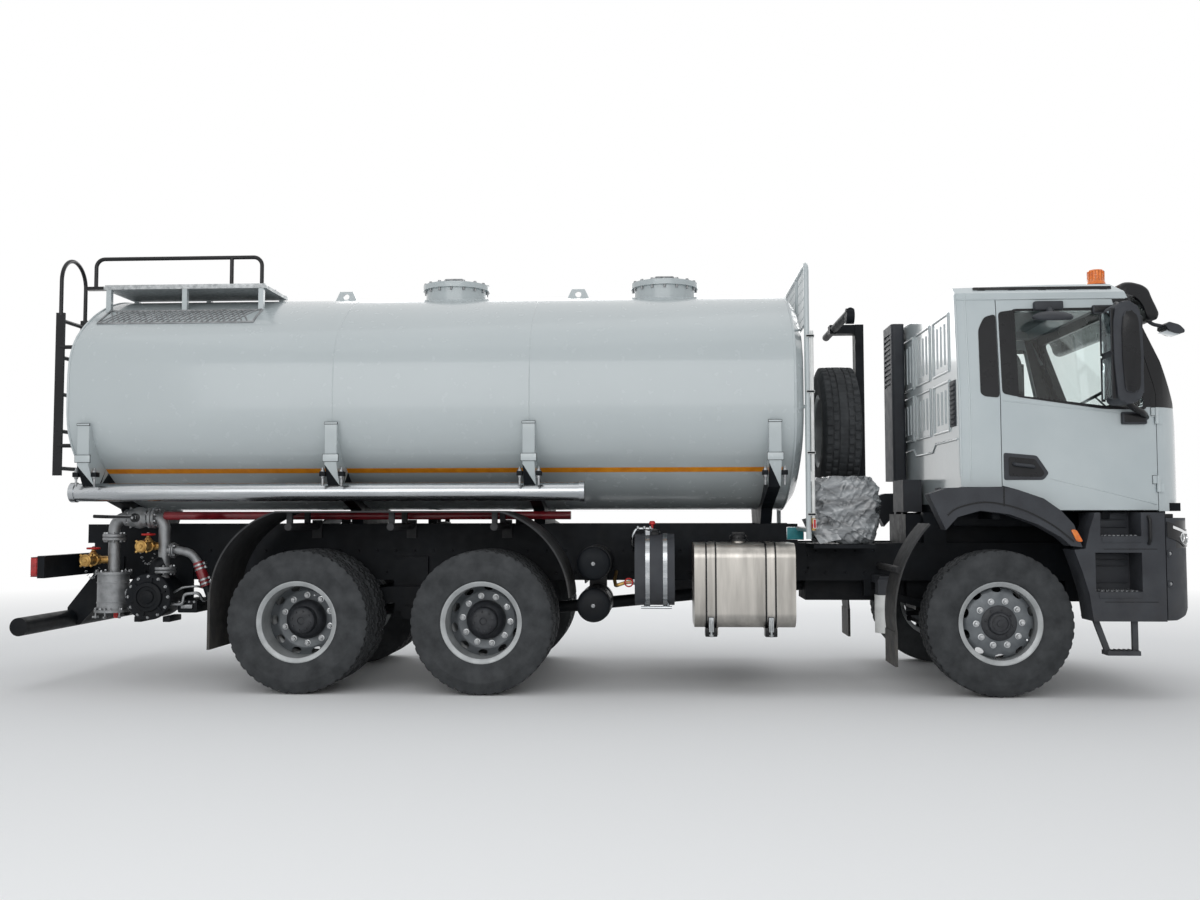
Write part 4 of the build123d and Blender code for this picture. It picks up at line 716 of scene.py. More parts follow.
def trimTank():
    bm = bmesh.new()
    for x in tankTrim["seamX"]:
        tube(bm, tankSection(x, -tankTrim["seamBead"] * 0.35), tankTrim["seamBead"], 8, 0, True)
    for x in tankTrim["endX"]:
        tube(bm, tankSection(x, -0.002), tankTrim["endBead"], 8, 0, True)
    finishPiece("tank_seams", bm, ("tankPaint",))

    bm = bmesh.new()
    low, high = tankTrim["stripeX"]
    for sign in (-1, 1):
        rows = []
        for z in (-0.5, 0.5):
            level = tankTrim["stripeZ"] + z * tankTrim["stripeTall"]
            rows.append((abs(sideHit(tankWall, sign, (low + high) / 2, level).y), level))
        for inset in (False, True):
            rise = -0.002 if inset else tankTrim["stripeRise"]
            verts = [bm.verts.new((x, sign * (rows[index][0] + rise), rows[index][1]))
                     for x, index in ((low, 0), (high, 0), (high, 1), (low, 1))]
            if not inset:
                outer = verts
        bm.faces.new(outer)
        bm.faces.new(verts)
        for index in range(4):
            after = (index + 1) % 4
            bm.faces.new((outer[index], outer[after], verts[after], verts[index]))
    finishPiece("tank_stripe", bm, ("stripeOrange",))

    bm = bmesh.new()
    for x in tankTrim["cradleX"]:
        for sign in (-1, 1):
            y, z0, z1 = clamp["lowPad"]
            slab(bm, (x - 0.062, sign * y - 0.006, z0), (x + 0.062, sign * y + 0.006, z1), 0.004, 1)
            y, z0, z1 = clamp["highPad"]
            slab(bm, (x - 0.052, sign * y - 0.005, z0), (x + 0.052, sign * y + 0.008, z1), 0.004, 1)
            lug, y = sign * clamp["lugY"], sign * clamp["boltY"]
            (z0, z1), (foot, head) = clamp["lugZ"], clamp["boltZ"]
            for shift in clamp["boltX"]:  # clamp bolts each side of the pad
                slab(bm, (x + shift - 0.022, lug - 0.03, z0), (x + shift + 0.022, lug + 0.03, z1))
                tube(bm, ((x + shift, y, foot), (x + shift, y, head)), 0.009, 10, 2)
                for z, way in ((z1, 1), (z0, -1)):
                    hexBolt(bm, (x + shift, y, z), (0, 0, way), 0.014, 0.016, 2)
    finishPiece("saddle_clamps", bm, ("chassisBlack", "tankPaint", "nutSteel"))

    bm = bmesh.new()
    start, end = tankTrim["meshX"]
    near, far = tankTrim["meshY"]

    def shoulder(x, share):
        hit = tankWall.ray_cast(Vector((x, near + (far - near) * share, 4)), Vector((0, 0, -1)))[0]
        return hit + Vector((0, -0.002, 0.004))

    run = tankTrim["meshRun"]
    count = int((end - start - run) / tankTrim["meshPitch"])
    for index in range(count + 1):
        x = start + index * tankTrim["meshPitch"]
        for flip in (False, True):
            path = [shoulder(x + run * ((1 - share) if flip else share), share)
                    for share in (0, 0.25, 0.5, 0.75, 1)]
            tube(bm, path, tankTrim["wire"], 5)
    border = [shoulder(start + (end - start) * step / 24, 0) for step in range(25)]
    border += [shoulder(end, share / 4) for share in range(1, 5)]
    border += [shoulder(end + (start - end) * step / 24, 1) for step in range(1, 25)]
    border += [shoulder(start, 1 - share / 4) for share in range(1, 4)]
    tube(bm, border, tankTrim["border"], 6, 0, True)
    finishPiece("shoulder_mesh", bm, ("castGrey",), "chassis", 60)


trimTank()

# walkway grating: dimpled planks with side flanges, on the flat platform
walkway = {"x": (-3.985, -2.659), "y": (-0.745, -0.205), "top": 3.196, "rows": 7, "pitch": 0.052,
           "hole": 0.014}
manhole = {"x": (-1.234, 0.56), "top": 3.305, "bolts": 16, "circle": 0.268, "shank": (3.235, 3.262),
           "handleY": 0.13, "handleX": 0.08, "handleTop": 3.345}


def grateWalkway():
    bm = bmesh.new()
    x0, x1 = walkway["x"]
    y0, y1 = walkway["y"]
    top = walkway["top"]
    for row in range(walkway["rows"]):
        y = y0 + 0.06 + row * (y1 - y0 - 0.12) / (walkway["rows"] - 1)
        for step in range(int((x1 - x0 - 0.06) / walkway["pitch"]) + 1):
            x = x0 + 0.03 + step * walkway["pitch"] + (walkway["pitch"] / 2 if row % 2 else 0)
            if x > x1 - 0.03:
                continue
            hole = walkway["hole"]
            lathe(bm, ((hole * 1.5, 0), (hole * 1.15, 0.007), (hole * 0.95, 0.007), (hole * 0.9, 0.001),
                       (0, 0.001)), aim((x, y, top), up), 12)
    for y in (y0 + 0.004, (y0 + y1) / 2, y1 - 0.004):
        slab(bm, (x0, y - 0.004, top - 0.001), (x1, y + 0.004, top + 0.012), 0.002)
    for step in range(24):  # punched side flange
        x = x0 + 0.04 + step * (x1 - x0 - 0.08) / 23
        lathe(bm, ((0.011, 0), (0.011, 0.003), (0.007, 0.003), (0.006, 0.0005), (0, 0.0005)),
              aim((x, y0 - 0.005, top - 0.013), rightward), 10)
    finishPiece("walkway_grating", bm, ("galvanised",))

    bm = bmesh.new()
    top, circle, (low, high) = manhole["top"], manhole["circle"], manhole["shank"]
    reach, lift = manhole["handleX"], manhole["handleTop"]
    for x in manhole["x"]:  # manhole lids: bolt circle, handle bar and centre boss
        lathe(bm, ((0, 0.012), (0.05, 0.012), (0.06, 0.006), (0.2, 0.004), (0.235, 0.0)),
              aim((x, 0, top), up), 40)
        for bolt in range(manhole["bolts"]):
            angle = 2 * pi * bolt / manhole["bolts"]
            boltX, boltY = x + circle * cos(angle), circle * sin(angle)
            hexBolt(bm, (boltX, boltY, top), up, 0.012, 0.014, 1, angle)
            tube(bm, ((boltX, boltY, low), (boltX, boltY, high)), 0.01, 8, 1)
        for sign in (-1, 1):
            y = sign * manhole["handleY"]
            tube(bm, roundedPath(((x - reach, y, top), (x - reach, y, lift), (x + reach, y, lift),
                                  (x + reach, y, top)), 0.025), 0.008, 10, 1)
    finishPiece("manhole_bolts", bm, ("tankPaint", "nutSteel"))


grateWalkway()

# front guard: wire infill in its upper corners and along its head, and the level tube with its red cock
guard = {"x": 1.625, "halfWide": 1.08, "low": 2.78, "high": 3.222, "pitch": 0.075, "wire": 0.0035,
         "gapHalf": 0.5, "gapTop": 2.96, "bar": 0.01}
levelTube = {"ahead": 0.035, "y": -1.108, "z": (1.3, 2.72), "clips": (1.34, 1.8, 2.26, 2.68)}


def fillGuard():
    bm = bmesh.new()
    wide, low, high = guard["halfWide"], guard["low"], guard["high"]
    x, gap, wire = guard["x"], guard["gapHalf"], guard["wire"]
    for step in range(int(2 * wide / guard["pitch"]) + 1):
        y = -wide + step * guard["pitch"]
        foot = low if abs(y) > gap else guard["gapTop"]
        tube(bm, ((x - 0.004, y, foot), (x - 0.004, y, high)), wire, 6)
    for step in range(int((high - low) / guard["pitch"]) + 1):
        z = low + step * guard["pitch"]
        spans = ((-wide, wide),) if z > guard["gapTop"] else ((-wide, -gap), (gap, wide))
        for y0, y1 in spans:
            tube(bm, ((x + 0.003, y0, z), (x + 0.003, y1, z)), wire, 6)
    for sign in (-1, 1):
        tube(bm, ((x, sign * wide, low), (x, sign * gap, low)), guard["bar"], 10)
        tube(bm, ((x, sign * gap, low), (x, sign * gap, guard["gapTop"] + 0.005)), guard["bar"], 10)
    finishPiece("guard_mesh", bm, ("tankPaint",), "chassis", 60)

    bm = bmesh.new()
    x, y, (low, high) = guard["x"] + levelTube["ahead"], levelTube["y"], levelTube["z"]
    tube(bm, ((x, y, low), (x, y, high)), 0.013, 14)
    for z in levelTube["clips"]:
        slab(bm, (x - 0.045, y - 0.018, z - 0.01), (x + 0.018, y + 0.018, z + 0.01), 0.003, 1)
    tube(bm, ((x, y, 1.22), (x, y, 1.31)), 0.017, 12, 2)
    lathe(bm, ((0, 0), (0.02, 0), (0.02, 0.03), (0.012, 0.04), (0, 0.04)),
          aim((x, y - 0.012, 1.255), rightward), 14, 3)
    slab(bm, (x - 0.012, y - 0.062, 1.235), (x + 0.012, y - 0.048, 1.305), 0.004, 3)
    finishPiece("level_tube", bm, ("whitePlastic", "chassisBlack", "brassCast", "wheelRed"))


fillGuard()
print("tank trimmed")

cabSide = {"belt": 2.2, "y": 1.15, "leanIn": 0.09, "leanOver": 0.8}  # the sides lean inwards above the belt


def sideY(z):
    return cabSide["y"] - max(0, z - cabSide["belt"]) * cabSide["leanIn"] / cabSide["leanOver"]


def sideSheet(bm, outline, sign, rise, paint=0, sink=0.004):  # flat outline in X,Z laid on a cab side
    flat = bmesh.new()
    flat.faces.new([flat.verts.new((x, 0, z)) for x, z in outline])
    bmesh.ops.bisect_plane(flat, geom=flat.verts[:] + flat.edges[:] + flat.faces[:],
                           plane_co=(0, 0, cabSide["belt"]), plane_no=(0, 0, 1))
    outer, inner = {}, {}
    for vert in flat.verts:
        x, z = vert.co.x, vert.co.z
        outer[vert] = bm.verts.new((x, sign * (sideY(z) + rise), z))
        inner[vert] = bm.verts.new((x, sign * (sideY(z) - sink), z))
    for face in flat.faces:
        bm.faces.new([outer[vert] for vert in face.verts]).material_index = paint
        bm.faces.new([inner[vert] for vert in face.verts]).material_index = paint
    for line in flat.edges:
        if len(line.link_faces) == 1:
            first, second = line.verts
            bm.faces.new((outer[first], outer[second], inner[second], inner[first])).material_index = paint
    flat.free()


# door trim: black band behind the glass, window seal, dish with its pad and pull handle (X, distance out, Z),
# crease lines and hinge covers
doorTrim = {
    "band": ((3.052, 2.232), (3.052, 2.852), (3.172, 2.868), (3.172, 2.205)),
    "window": ((3.159, 2.215), (3.159, 2.86), (3.905, 2.86), (4.07, 2.17), (4.07, 2.12), (3.8, 2.13)),
    "sealWide": 0.022, "rise": 0.004,
    "dish": ((3.05, 1.59), (3.05, 1.792), (3.29, 1.77), (3.375, 1.64), (3.335, 1.59)),
    "pad": ((3.085, 1.618), (3.085, 1.762), (3.275, 1.744), (3.345, 1.64), (3.322, 1.612)),
    "handle": ((3.12, 0, 1.712), (3.128, 0.03, 1.704), (3.25, 0.032, 1.69), (3.268, 0, 1.684)),
    "hingeX": (4.118, 4.152), "hingeZ": (1.56, 2.06),
    "creases": (((3.056, 2.178), (3.55, 2.12), (4.06, 2.062), (4.145, 2.054)),
                ((3.385, 1.6), (3.75, 1.512), (4.145, 1.412))),
}


def trimDoor(name, sign):
    body = "door_" + name
    bm = bmesh.new()
    sideSheet(bm, easedOutline(doorTrim["band"], 0.03), sign, doorTrim["rise"])
    window = [Vector((x, z)) for x, z in doorTrim["window"]]
    middle = sum(window, Vector((0, 0))) / len(window)
    rounded = [Vector(spot) for spot in easedOutline([tuple(spot) for spot in window], 0.04)]
    for index, spot in enumerate(rounded):  # seal strip round the glass
        onward = rounded[(index + 1) % len(rounded)]
        out1, out2 = (spot - middle).normalized(), (onward - middle).normalized()
        wide = doorTrim["sealWide"]
        sideSheet(bm, [tuple(spot - out1 * 0.004), tuple(onward - out2 * 0.004), tuple(onward + out2 * wide),
                       tuple(spot + out1 * wide)], sign, 0.005)
    sideSheet(bm, easedOutline(doorTrim["dish"], 0.018), sign, doorTrim["rise"], 1)
    sideSheet(bm, easedOutline(doorTrim["pad"], 0.016), sign, 0.0065)
    y = sign * cabSide["y"]
    grip = [(x, y + sign * away, z) for x, away, z in doorTrim["handle"]]
    tube(bm, roundedPath(grip, 0.02), 0.013, 12, 1)
    x0, x1 = doorTrim["hingeX"]
    for z in doorTrim["hingeZ"]:  # hinge covers
        slab(bm, (x0, y - 0.004, z - 0.002), (x1, y + 0.007, z + 0.062), 0.004, 2)
    finishPiece("door_trim_" + name, bm, ("gloveBlack", "trimBlack", "cabPaint"), body)

    bm = bmesh.new()  # pressed crease lines of the skin
    for path in doorTrim["creases"]:
        tube(bm, [(x, sign * (cabSide["y"] - 0.0035), z) for x, z in path], 0.0065, 8)
    finishPiece("door_creases_" + name, bm, ("cabPaint",), body, 60)


for side, sign in sides.items():
    trimDoor(side, sign)

# cab trim: quarter panels, roof rails, gutters, rear wall pressings, vent, wipers and grille bars
cabTrim = {
    "quarter": ((2.893, 2.236), (2.899, 2.72), (2.945, 2.815), (3.031, 2.838), (3.031, 2.2), (2.92, 2.212)),
    "railX": (2.885, 3.908), "railY": 1.012, "railZ": 3.05, "back": 2.737, "columns": (-0.62, 0.0, 0.62),
    "panels": ((1.98, 2.36), (2.44, 2.88)), "panelHalf": 0.25, "wipers": (-0.55, 0.15),
    "grilleX": (4.374, 4.384), "grilleZ": 1.445, "grillePitch": 0.085, "grilleHalf": 0.555,
}


def trimCab():
    bm = bmesh.new()
    for sign in (-1, 1):
        sideSheet(bm, easedOutline(cabTrim["quarter"], 0.03), sign, 0.004)
        (low, high), y, z = cabTrim["railX"], sign * cabTrim["railY"], cabTrim["railZ"]
        slab(bm, (low, y - 0.016, z - 0.03), (high, y + 0.016, z + 0.002), 0.006)
        for share in range(5):
            x = low + 0.06 + (high - low - 0.12) * share / 4
            slab(bm, (x - 0.03, y - 0.02, z - 0.05), (x + 0.03, y + 0.02, z - 0.01), 0.005)
    finishPiece("cab_side_trim", bm, ("gloveBlack",), "cab")

    bm = bmesh.new()
    back, half = cabTrim["back"], cabTrim["panelHalf"]
    for column in cabTrim["columns"]:  # pressed panels of the rear wall
        for z0, z1 in cabTrim["panels"]:
            for y in (column - half, column + half):
                tube(bm, ((back, y, z0), (back, y, z1)), 0.012, 8)
            for z in (z0, z1):
                tube(bm, ((back, column - half, z), (back, column + half, z)), 0.012, 8)
            for shift in (-0.12, 0.0, 0.12):
                tube(bm, ((back, column + shift, z0 + 0.06), (back, column + shift, z1 - 0.06)), 0.008, 8)
    tube(bm, ((back, -1.08, 1.9), (back, -0.4, 1.9), (back, -0.3, 1.84), (back, 0.3, 1.84), (back, 0.4, 1.9),
              (back, 1.08, 1.9)), 0.01, 8)
    for sign in (-1, 1):
        tube(bm, ((back + 0.004, sign * 1.145, 1.62), (back + 0.004, sign * 1.146, cabSide["belt"]),
                  (back + 0.004, sign * 1.056, 2.99)), 0.01, 8)
        for z0, z1 in ((1.585, 2.195), (2.205, 2.985)):  # rear quarter swage
            tube(bm, ((2.812, sign * (sideY(z0) - 0.004), z0), (2.812, sign * (sideY(z1) - 0.004), z1)),
                 0.008, 8)
    for sign in (-1, 1):  # gutter under the roof joint
        tube(bm, ((back + 0.01, sign * 1.0655, 2.952), (3.99, sign * 1.0655, 2.952)), 0.007, 8)
    finishPiece("cab_pressings", bm, ("cabPaint",), "cab", 60)

    bm = bmesh.new()
    for row in range(9):  # louvred vent low on the rear wall
        z = 2.02 + row * 0.036
        slab(bm, (back - 0.012, -1.03, z), (back + 0.004, -0.9, z + 0.018))
    slab(bm, (back - 0.005, -1.05, 2.0), (back + 0.004, -0.88, 2.35))
    for sign in (-1, 1):
        slab(bm, (back - 0.03, sign * 0.5 - 0.05, 1.42), (back + 0.01, sign * 0.5 + 0.05, 1.55), 0.008)
    for y in cabTrim["wipers"]:  # parked on the screen's foot
        tube(bm, roundedPath(((4.352, y, 2.13), (4.372, y, 2.175), (4.318, y + 0.3, 2.36)), 0.03), 0.008, 8)
        slab(bm, (-0.008, -0.3, -0.012), (0.008, 0.3, 0.012), 0.003, 0,
             Matrix.Translation((4.316, y + 0.34, 2.362)) @ Matrix.Rotation(-0.1, 4, "X"))
        pivot = aim((4.322, y, 2.12), (1, 0, 0.25))
        lathe(bm, ((0, 0.05), (0.018, 0.05), (0.022, 0.04), (0.022, 0)), pivot, 16)
    (x0, x1), half = cabTrim["grilleX"], cabTrim["grilleHalf"]
    for row in range(4):  # grille bars and mesh between the slots
        z = cabTrim["grilleZ"] + row * cabTrim["grillePitch"]
        slab(bm, (x0, -half, z - 0.008), (x1, half, z + 0.008), 0.003)
        for step in range(28):
            y = -0.54 + step * 0.04
            tube(bm, ((4.377, y, z - 0.024), (4.377, y, z + 0.024)), 0.003, 5)
    finishPiece("cab_black_details", bm, ("trimBlack",), "cab")


trimCab()
print("cab trimmed")

# seats, dashboard and wheel inside the cab
seat = {"y": (-0.6, 0.6), "wide": 0.49, "cushionX": (3.06, 3.56), "cushionZ": 1.775, "tilt": -0.18,
        "backTall": 0.7, "backThick": 0.12, "backAt": (3.045, 2.205), "headAt": (2.985, 2.655),
        "headSize": (0.17, 0.25, 0.08), "bellows": 5, "bellow": 0.036}
dash = {"outline": ((3.966, 2.05), (4.052, 2.136), (4.3, 2.136), (4.3, 1.52), (4.155, 1.52), (3.996, 1.9)),
        "half": 1.03, "vents": (-0.95, -0.35, 0.25, 0.95)}
steering = {"at": (3.83, 0.6, 2.09), "axis": (-0.55, 0, 0.83), "radius": 0.208, "grip": 0.015, "column": 0.4}


def padMesh(name, size, place, crown=0.035, channels=3):  # cushion with a crowned face and sewn channels
    bm = bmesh.new()
    bmesh.ops.create_cube(bm, size=1)
    bmesh.ops.subdivide_edges(bm, edges=bm.edges[:], cuts=11, use_grid_fill=True)
    wide, deep, tall = size
    for vert in bm.verts:
        x, y, z = vert.co * 2
        soft = 1 - 0.1 * (abs(x) ** 6 + abs(y) ** 6) * 0.5  # sides pull in between the corners
        swell = (1 - x * x) * (1 - y * y)
        lift = crown * swell * (1 if z > 0 else 0.25) * abs(z)
        groove = 0.0
        if z > 0.5:
            for channel in range(1, channels):
                away = abs(x - (2 * channel / channels - 1))
                groove = max(groove, 0.014 * exp(-(away / 0.07) ** 2))
            away = abs(abs(y) - 0.66)
            groove = max(groove, 0.012 * exp(-(away / 0.06) ** 2))
        edge = max(abs(x), abs(y), abs(z))
        rounding = 1 - 0.06 * max(0, (abs(x) ** 8 + abs(y) ** 8 + abs(z) ** 8) - 1)
        wave = noise.noise(Vector((x * 2.1, y * 2.3, z)) + place.translation) * 0.004 * edge
        vert.co = Vector((x * wide / 2 * soft * rounding, y * deep / 2 * soft * rounding,
                          z * tall / 2 * rounding + (lift - groove + wave) * (1 if z >= 0 else -1)))
    bmesh.ops.transform(bm, matrix=place, verts=bm.verts[:])
    piece = meshPiece(name, meshOf(name, bm), ("seatCloth",), "cab", 80)
    smooth = piece.modifiers.new("softer", "SUBSURF")
    smooth.levels = smooth.render_levels = 1


def fitSeats():
    lean = Matrix.Rotation(pi / 2 + seat["tilt"], 4, "Y")
    x0, x1 = seat["cushionX"]
    for label, y in zip(sides, seat["y"]):
        cushion = Matrix.Translation(((x0 + x1) / 2 + 0.02, y, seat["cushionZ"]))
        padMesh("seat_cushion_" + label, (x1 - x0 - 0.05, seat["wide"], 0.14), cushion)
        (backX, backZ), (headX, headZ) = seat["backAt"], seat["headAt"]
        back = Matrix.Translation((backX, y, backZ)) @ lean
        size = (seat["backTall"], seat["wide"] - 0.02, seat["backThick"])
        padMesh("seat_back_" + label, size, back, 0.03, 4)
        head = Matrix.Translation((headX, y, headZ)) @ lean
        padMesh("head_rest_" + label, seat["headSize"], head, 0.016, 1)
    bm = bmesh.new()
    for y in seat["y"]:
        slab(bm, (3.12, y - 0.18, 1.425), (3.48, y + 0.18, 1.5), 0.012)
        for step in range(seat["bellows"]):  # bellows of the seat base
            out, lift = 0.012 * (step % 2), step * seat["bellow"]
            slab(bm, (3.15 - out, y - 0.15 - out, 1.5 + lift), (3.45 + out, y + 0.15 + out, 1.536 + lift),
                 0.008)
        slab(bm, (3.1, y - 0.2, 1.68), (3.5, y + 0.2, 1.705), 0.008)
        for shift in (-0.07, 0.07):
            tube(bm, ((3.0, y + shift, 2.54), (2.985, y + shift, 2.62)), 0.007, 10, 1)
    plate(bm, easedOutline(dash["outline"], 0.03), 2 * dash["half"], upright(-dash["half"]))
    for y in dash["vents"]:
        slab(bm, (3.952, y - 0.07, 1.935), (3.985, y + 0.07, 2.015), 0.008, 1)
        for row in range(3):
            slab(bm, (3.946, y - 0.06, 1.948 + row * 0.022), (3.956, y + 0.06, 1.958 + row * 0.022), 0.002)
    slab(bm, (3.95, 0.42, 2.02), (4.055, 0.78, 2.139), 0.03)  # instrument hood
    centre, axis = Vector(steering["at"]), Vector(steering["axis"]).normalized()
    place = aim(centre + axis * 0.012, axis)
    tube(bm, oval(place, steering["radius"], steering["radius"], 48), steering["grip"], 12, 0, True)
    hub = ((0, 0.012), (0.05, 0.012), (0.075, 0.004), (0.08, -0.012), (0.06, -0.03), (0, -0.03))
    lathe(bm, hub, place, 28)
    for angle in (0, pi, -pi / 2):
        tube(bm, (place @ Vector((0.05 * cos(angle), 0.05 * sin(angle), -0.012)),
                  place @ Vector((0.205 * cos(angle), 0.205 * sin(angle), 0))), 0.012, 8)
    tube(bm, (centre, centre - axis * steering["column"]), 0.034, 16)
    finishPiece("cab_fittings", bm, ("trimBlack", "gloveBlack"), "cab", 35, ("cab_interior",))


fitSeats()
print("seats fitted")

# pump set details at the right rear: flanges, ball valve and lever, suction pipe, short hose, cap chains
pump = {"y": -0.76, "strainerX": -3.85, "riserX": -3.44, "pumpX": -3.5, "pumpZ": 0.7, "topZ": 1.32,
        "flange": 0.088, "valve": 0.205, "branchZ": 1.06, "outlets": ((-3.99, 0.985), (-3.545, 1.095)),
        "links": 9}


def flangePair(bm, at, axis, radius, thick=0.026, bolts=8):  # in paint 0, with bolts in paint 1
    at, axis = Vector(at), Vector(axis).normalized()
    place = aim(at, axis)
    for low, high in ((-thick, -0.002), (0.002, thick)):
        lathe(bm, ((radius * 0.55, low), (radius * 0.96, low), (radius, low + 0.004), (radius, high - 0.004),
                   (radius * 0.96, high), (radius * 0.55, high)), place, 36, 0, True)
    for bolt in range(bolts):
        angle = 2 * pi * (bolt + 0.5) / bolts
        spot = place @ Vector((radius * 0.8 * cos(angle), radius * 0.8 * sin(angle), 0))
        for way in (-1, 1):
            hexBolt(bm, spot + axis * way * thick, axis * way, 0.0095, 0.014, 1, angle)


def hoseClamp(bm, at, axis, radius, paint=0, wide=0.014):
    place = aim(at, axis)
    lathe(bm, ((radius, -wide / 2), (radius + 0.003, -wide / 2), (radius + 0.003, wide / 2),
               (radius, wide / 2)), place, 32, paint, True)
    slab(bm, (-0.016, -0.009, -0.01), (0.016, 0.009, 0.01), 0.002, paint,
         place @ Matrix.Translation((0, radius + 0.007, 0)))


def dressPump():
    y, sx, rx, top = pump["y"], pump["strainerX"], pump["riserX"], pump["topZ"]
    bm = bmesh.new()
    flangePair(bm, (sx, y, 1.165), up, pump["flange"])
    flangePair(bm, (rx - 0.09, y, top), forward, 0.084)
    flangePair(bm, (rx, y, 0.905), up, 0.092)
    flangePair(bm, (sx + 0.155, y - 0.002, 0.718), (0.35, 0, -0.03), 0.07, 0.014, 6)
    centre = Vector((sx + pump["valve"], y, top))  # ball valve in the top run
    lathe(bm, ((0.055, -0.115), (0.066, -0.112), (0.066, -0.085), (0.058, -0.078), (0.07, -0.05),
               (0.084, -0.022), (0.087, 0.0), (0.084, 0.022), (0.07, 0.05), (0.058, 0.078), (0.066, 0.085),
               (0.066, 0.112), (0.055, 0.115)), aim(centre, forward), 40)
    for side in (-1, 1):
        for bolt in range(6):
            angle = pi * (bolt + 0.5) / 3
            at = centre + Vector((side * 0.08, 0.074 * cos(angle), 0.074 * sin(angle)))
            hexBolt(bm, at, (-side, 0, 0), 0.008, 0.012, 1, angle)
    lathe(bm, ((0, 0.125), (0.02, 0.125), (0.022, 0.118), (0.022, 0.1), (0.036, 0.096), (0.036, 0.07)),
          aim(centre, rightward), 28, 2)
    lathe(bm, ((0, 0.139), (0.011, 0.139), (0.013, 0.134), (0.013, 0.12)), aim(centre, rightward), 6, 1)
    lever = centre + Vector((0, -0.118, 0.004))
    turn = Matrix.Translation(lever) @ Matrix.Rotation(0.02, 4, "Y")
    slab(bm, (-0.215, -0.006, -0.014), (0.024, 0.006, 0.014), 0.004, 2, turn)
    tube(bm, (lever + Vector((-0.21, 0, 0.004)), lever + Vector((-0.32, 0, 0.008))), 0.014, 12, 2)
    for z in (0.582, 0.881):  # lid and foot of the strainer pot
        for bolt in range(10):
            angle = 2 * pi * bolt / 10
            hexBolt(bm, (sx + 0.13 * cos(angle), y + 0.13 * sin(angle), z + 0.01), up, 0.009, 0.016, 1, angle)
    for angle in (-2.4, -1.57, -0.75):  # wing nuts of the cleaning lid
        at = Vector((sx + 0.132 * cos(angle), y + 0.132 * sin(angle), 0.572))
        tube(bm, (at + Vector((0, 0, 0.04)), at + Vector((0, 0, -0.045))), 0.007, 8, 1)
        slab(bm, (-0.026, -0.004, -0.012), (0.026, 0.004, 0.004), 0.003, 1,
             Matrix.Translation(at + Vector((0, 0, -0.03))) @ Matrix.Rotation(angle, 4, "Z"))
    lathe(bm, ((0, -0.05), (0.018, -0.05), (0.022, -0.04), (0.022, 0), (0, 0)),
          aim((sx + 0.03, y, 0.572), up), 16, 3)
    for z0 in (0.64, 0.8):  # cast ribs of the pot
        lathe(bm, ((0.118, z0), (0.124, z0 + 0.003), (0.124, z0 + 0.012), (0.118, z0 + 0.015)),
              aim((sx, y, 0), up), 48)
    finishPiece("pump_flanges", bm, ("castGrey", "nutSteel", "gloveBlack", "wheelRed"))

    bm = bmesh.new()  # branch to the short hose and the suction pipe to the pump's head
    level = pump["branchZ"]
    branch = roundedPath(((rx, y, level), (rx + 0.13, y, level), (rx + 0.23, y - 0.01, 1.035),
                          (rx + 0.29, y - 0.02, 0.955)), 0.06)
    tube(bm, branch, 0.034, 20)
    flangePair(bm, (rx + 0.075, y, level), forward, 0.062, 0.014, 4)
    end = Vector(branch[-1])
    run = Vector((0.36, -0.03, -0.93)).normalized()
    tube(bm, (end - run * 0.012, end + run * 0.19), 0.042, 24, 2)
    for share in (0.014, 0.045, 0.135, 0.168):
        hoseClamp(bm, end + run * share, run, 0.0425, 1)
    tube(bm, (end + run * 0.17, end + run * 0.3), 0.03, 16, 3)
    tube(bm, roundedPath((end + run * 0.29, end + run * 0.36, end + Vector((0.2, 0.24, -0.4)),
                          end + Vector((0.2, 0.335, -0.4))), 0.05), 0.026, 14, 3)
    finishPiece("pump_branch", bm, ("castGrey", "nutSteel", "redPaint", "chassisBlack"))

    bm = bmesh.new()  # pump casing: volute ribs, head bolts, grease points, drive guard and small pipes
    px, pz = pump["pumpX"], pump["pumpZ"]
    outward = aim((px, y - 0.13, pz), rightward)
    lathe(bm, ((0.176, -0.02), (0.182, -0.014), (0.182, 0.01), (0.176, 0.016), (0.12, 0.02), (0.112, 0.038),
               (0.085, 0.044), (0.08, 0.03)), outward, 48)
    for bolt in range(12):
        angle = 2 * pi * bolt / 12
        at = outward @ Vector((0.158 * cos(angle), 0.158 * sin(angle), 0.015))
        hexBolt(bm, at, rightward, 0.009, 0.012, 1, angle)
    for angle in range(6):
        turn = outward @ Matrix.Rotation(angle * pi / 3 + 0.3, 4, "Z")
        slab(bm, (0.078, -0.007, 0.01), (0.15, 0.007, 0.032), 0.004, 0, turn)
    lathe(bm, ((0, 0.055), (0.04, 0.054), (0.052, 0.046), (0.055, 0.034), (0.055, 0.0)), outward, 28)
    tube(bm, roundedPath(((px + 0.02, y - 0.02, pz + 0.165), (px + 0.02, y - 0.02, pz + 0.24),
                          (rx, y, pz + 0.26)), 0.05), 0.064, 24)
    for x in (px - 0.1, px + 0.13):
        slab(bm, (x - 0.03, y - 0.1, pz - 0.2), (x + 0.03, y + 0.12, pz - 0.155), 0.006)
    tube(bm, roundedPath(((px + 0.16, y - 0.09, pz - 0.06), (px + 0.26, y - 0.1, pz - 0.06),
                          (px + 0.27, y - 0.1, pz + 0.02), (px + 0.38, y - 0.08, pz + 0.03),
                          (px + 0.4, y - 0.04, pz - 0.04), (px + 0.4, -0.44, pz + 0.05)), 0.03), 0.012, 10, 1)
    tube(bm, roundedPath(((px + 0.15, y - 0.05, pz + 0.02), (px + 0.24, y - 0.06, pz + 0.07),
                          (px + 0.36, y - 0.06, pz + 0.08), (px + 0.44, -0.6, pz + 0.02),
                          (px + 0.44, -0.44, pz + 0.16)), 0.03), 0.009, 8, 1)
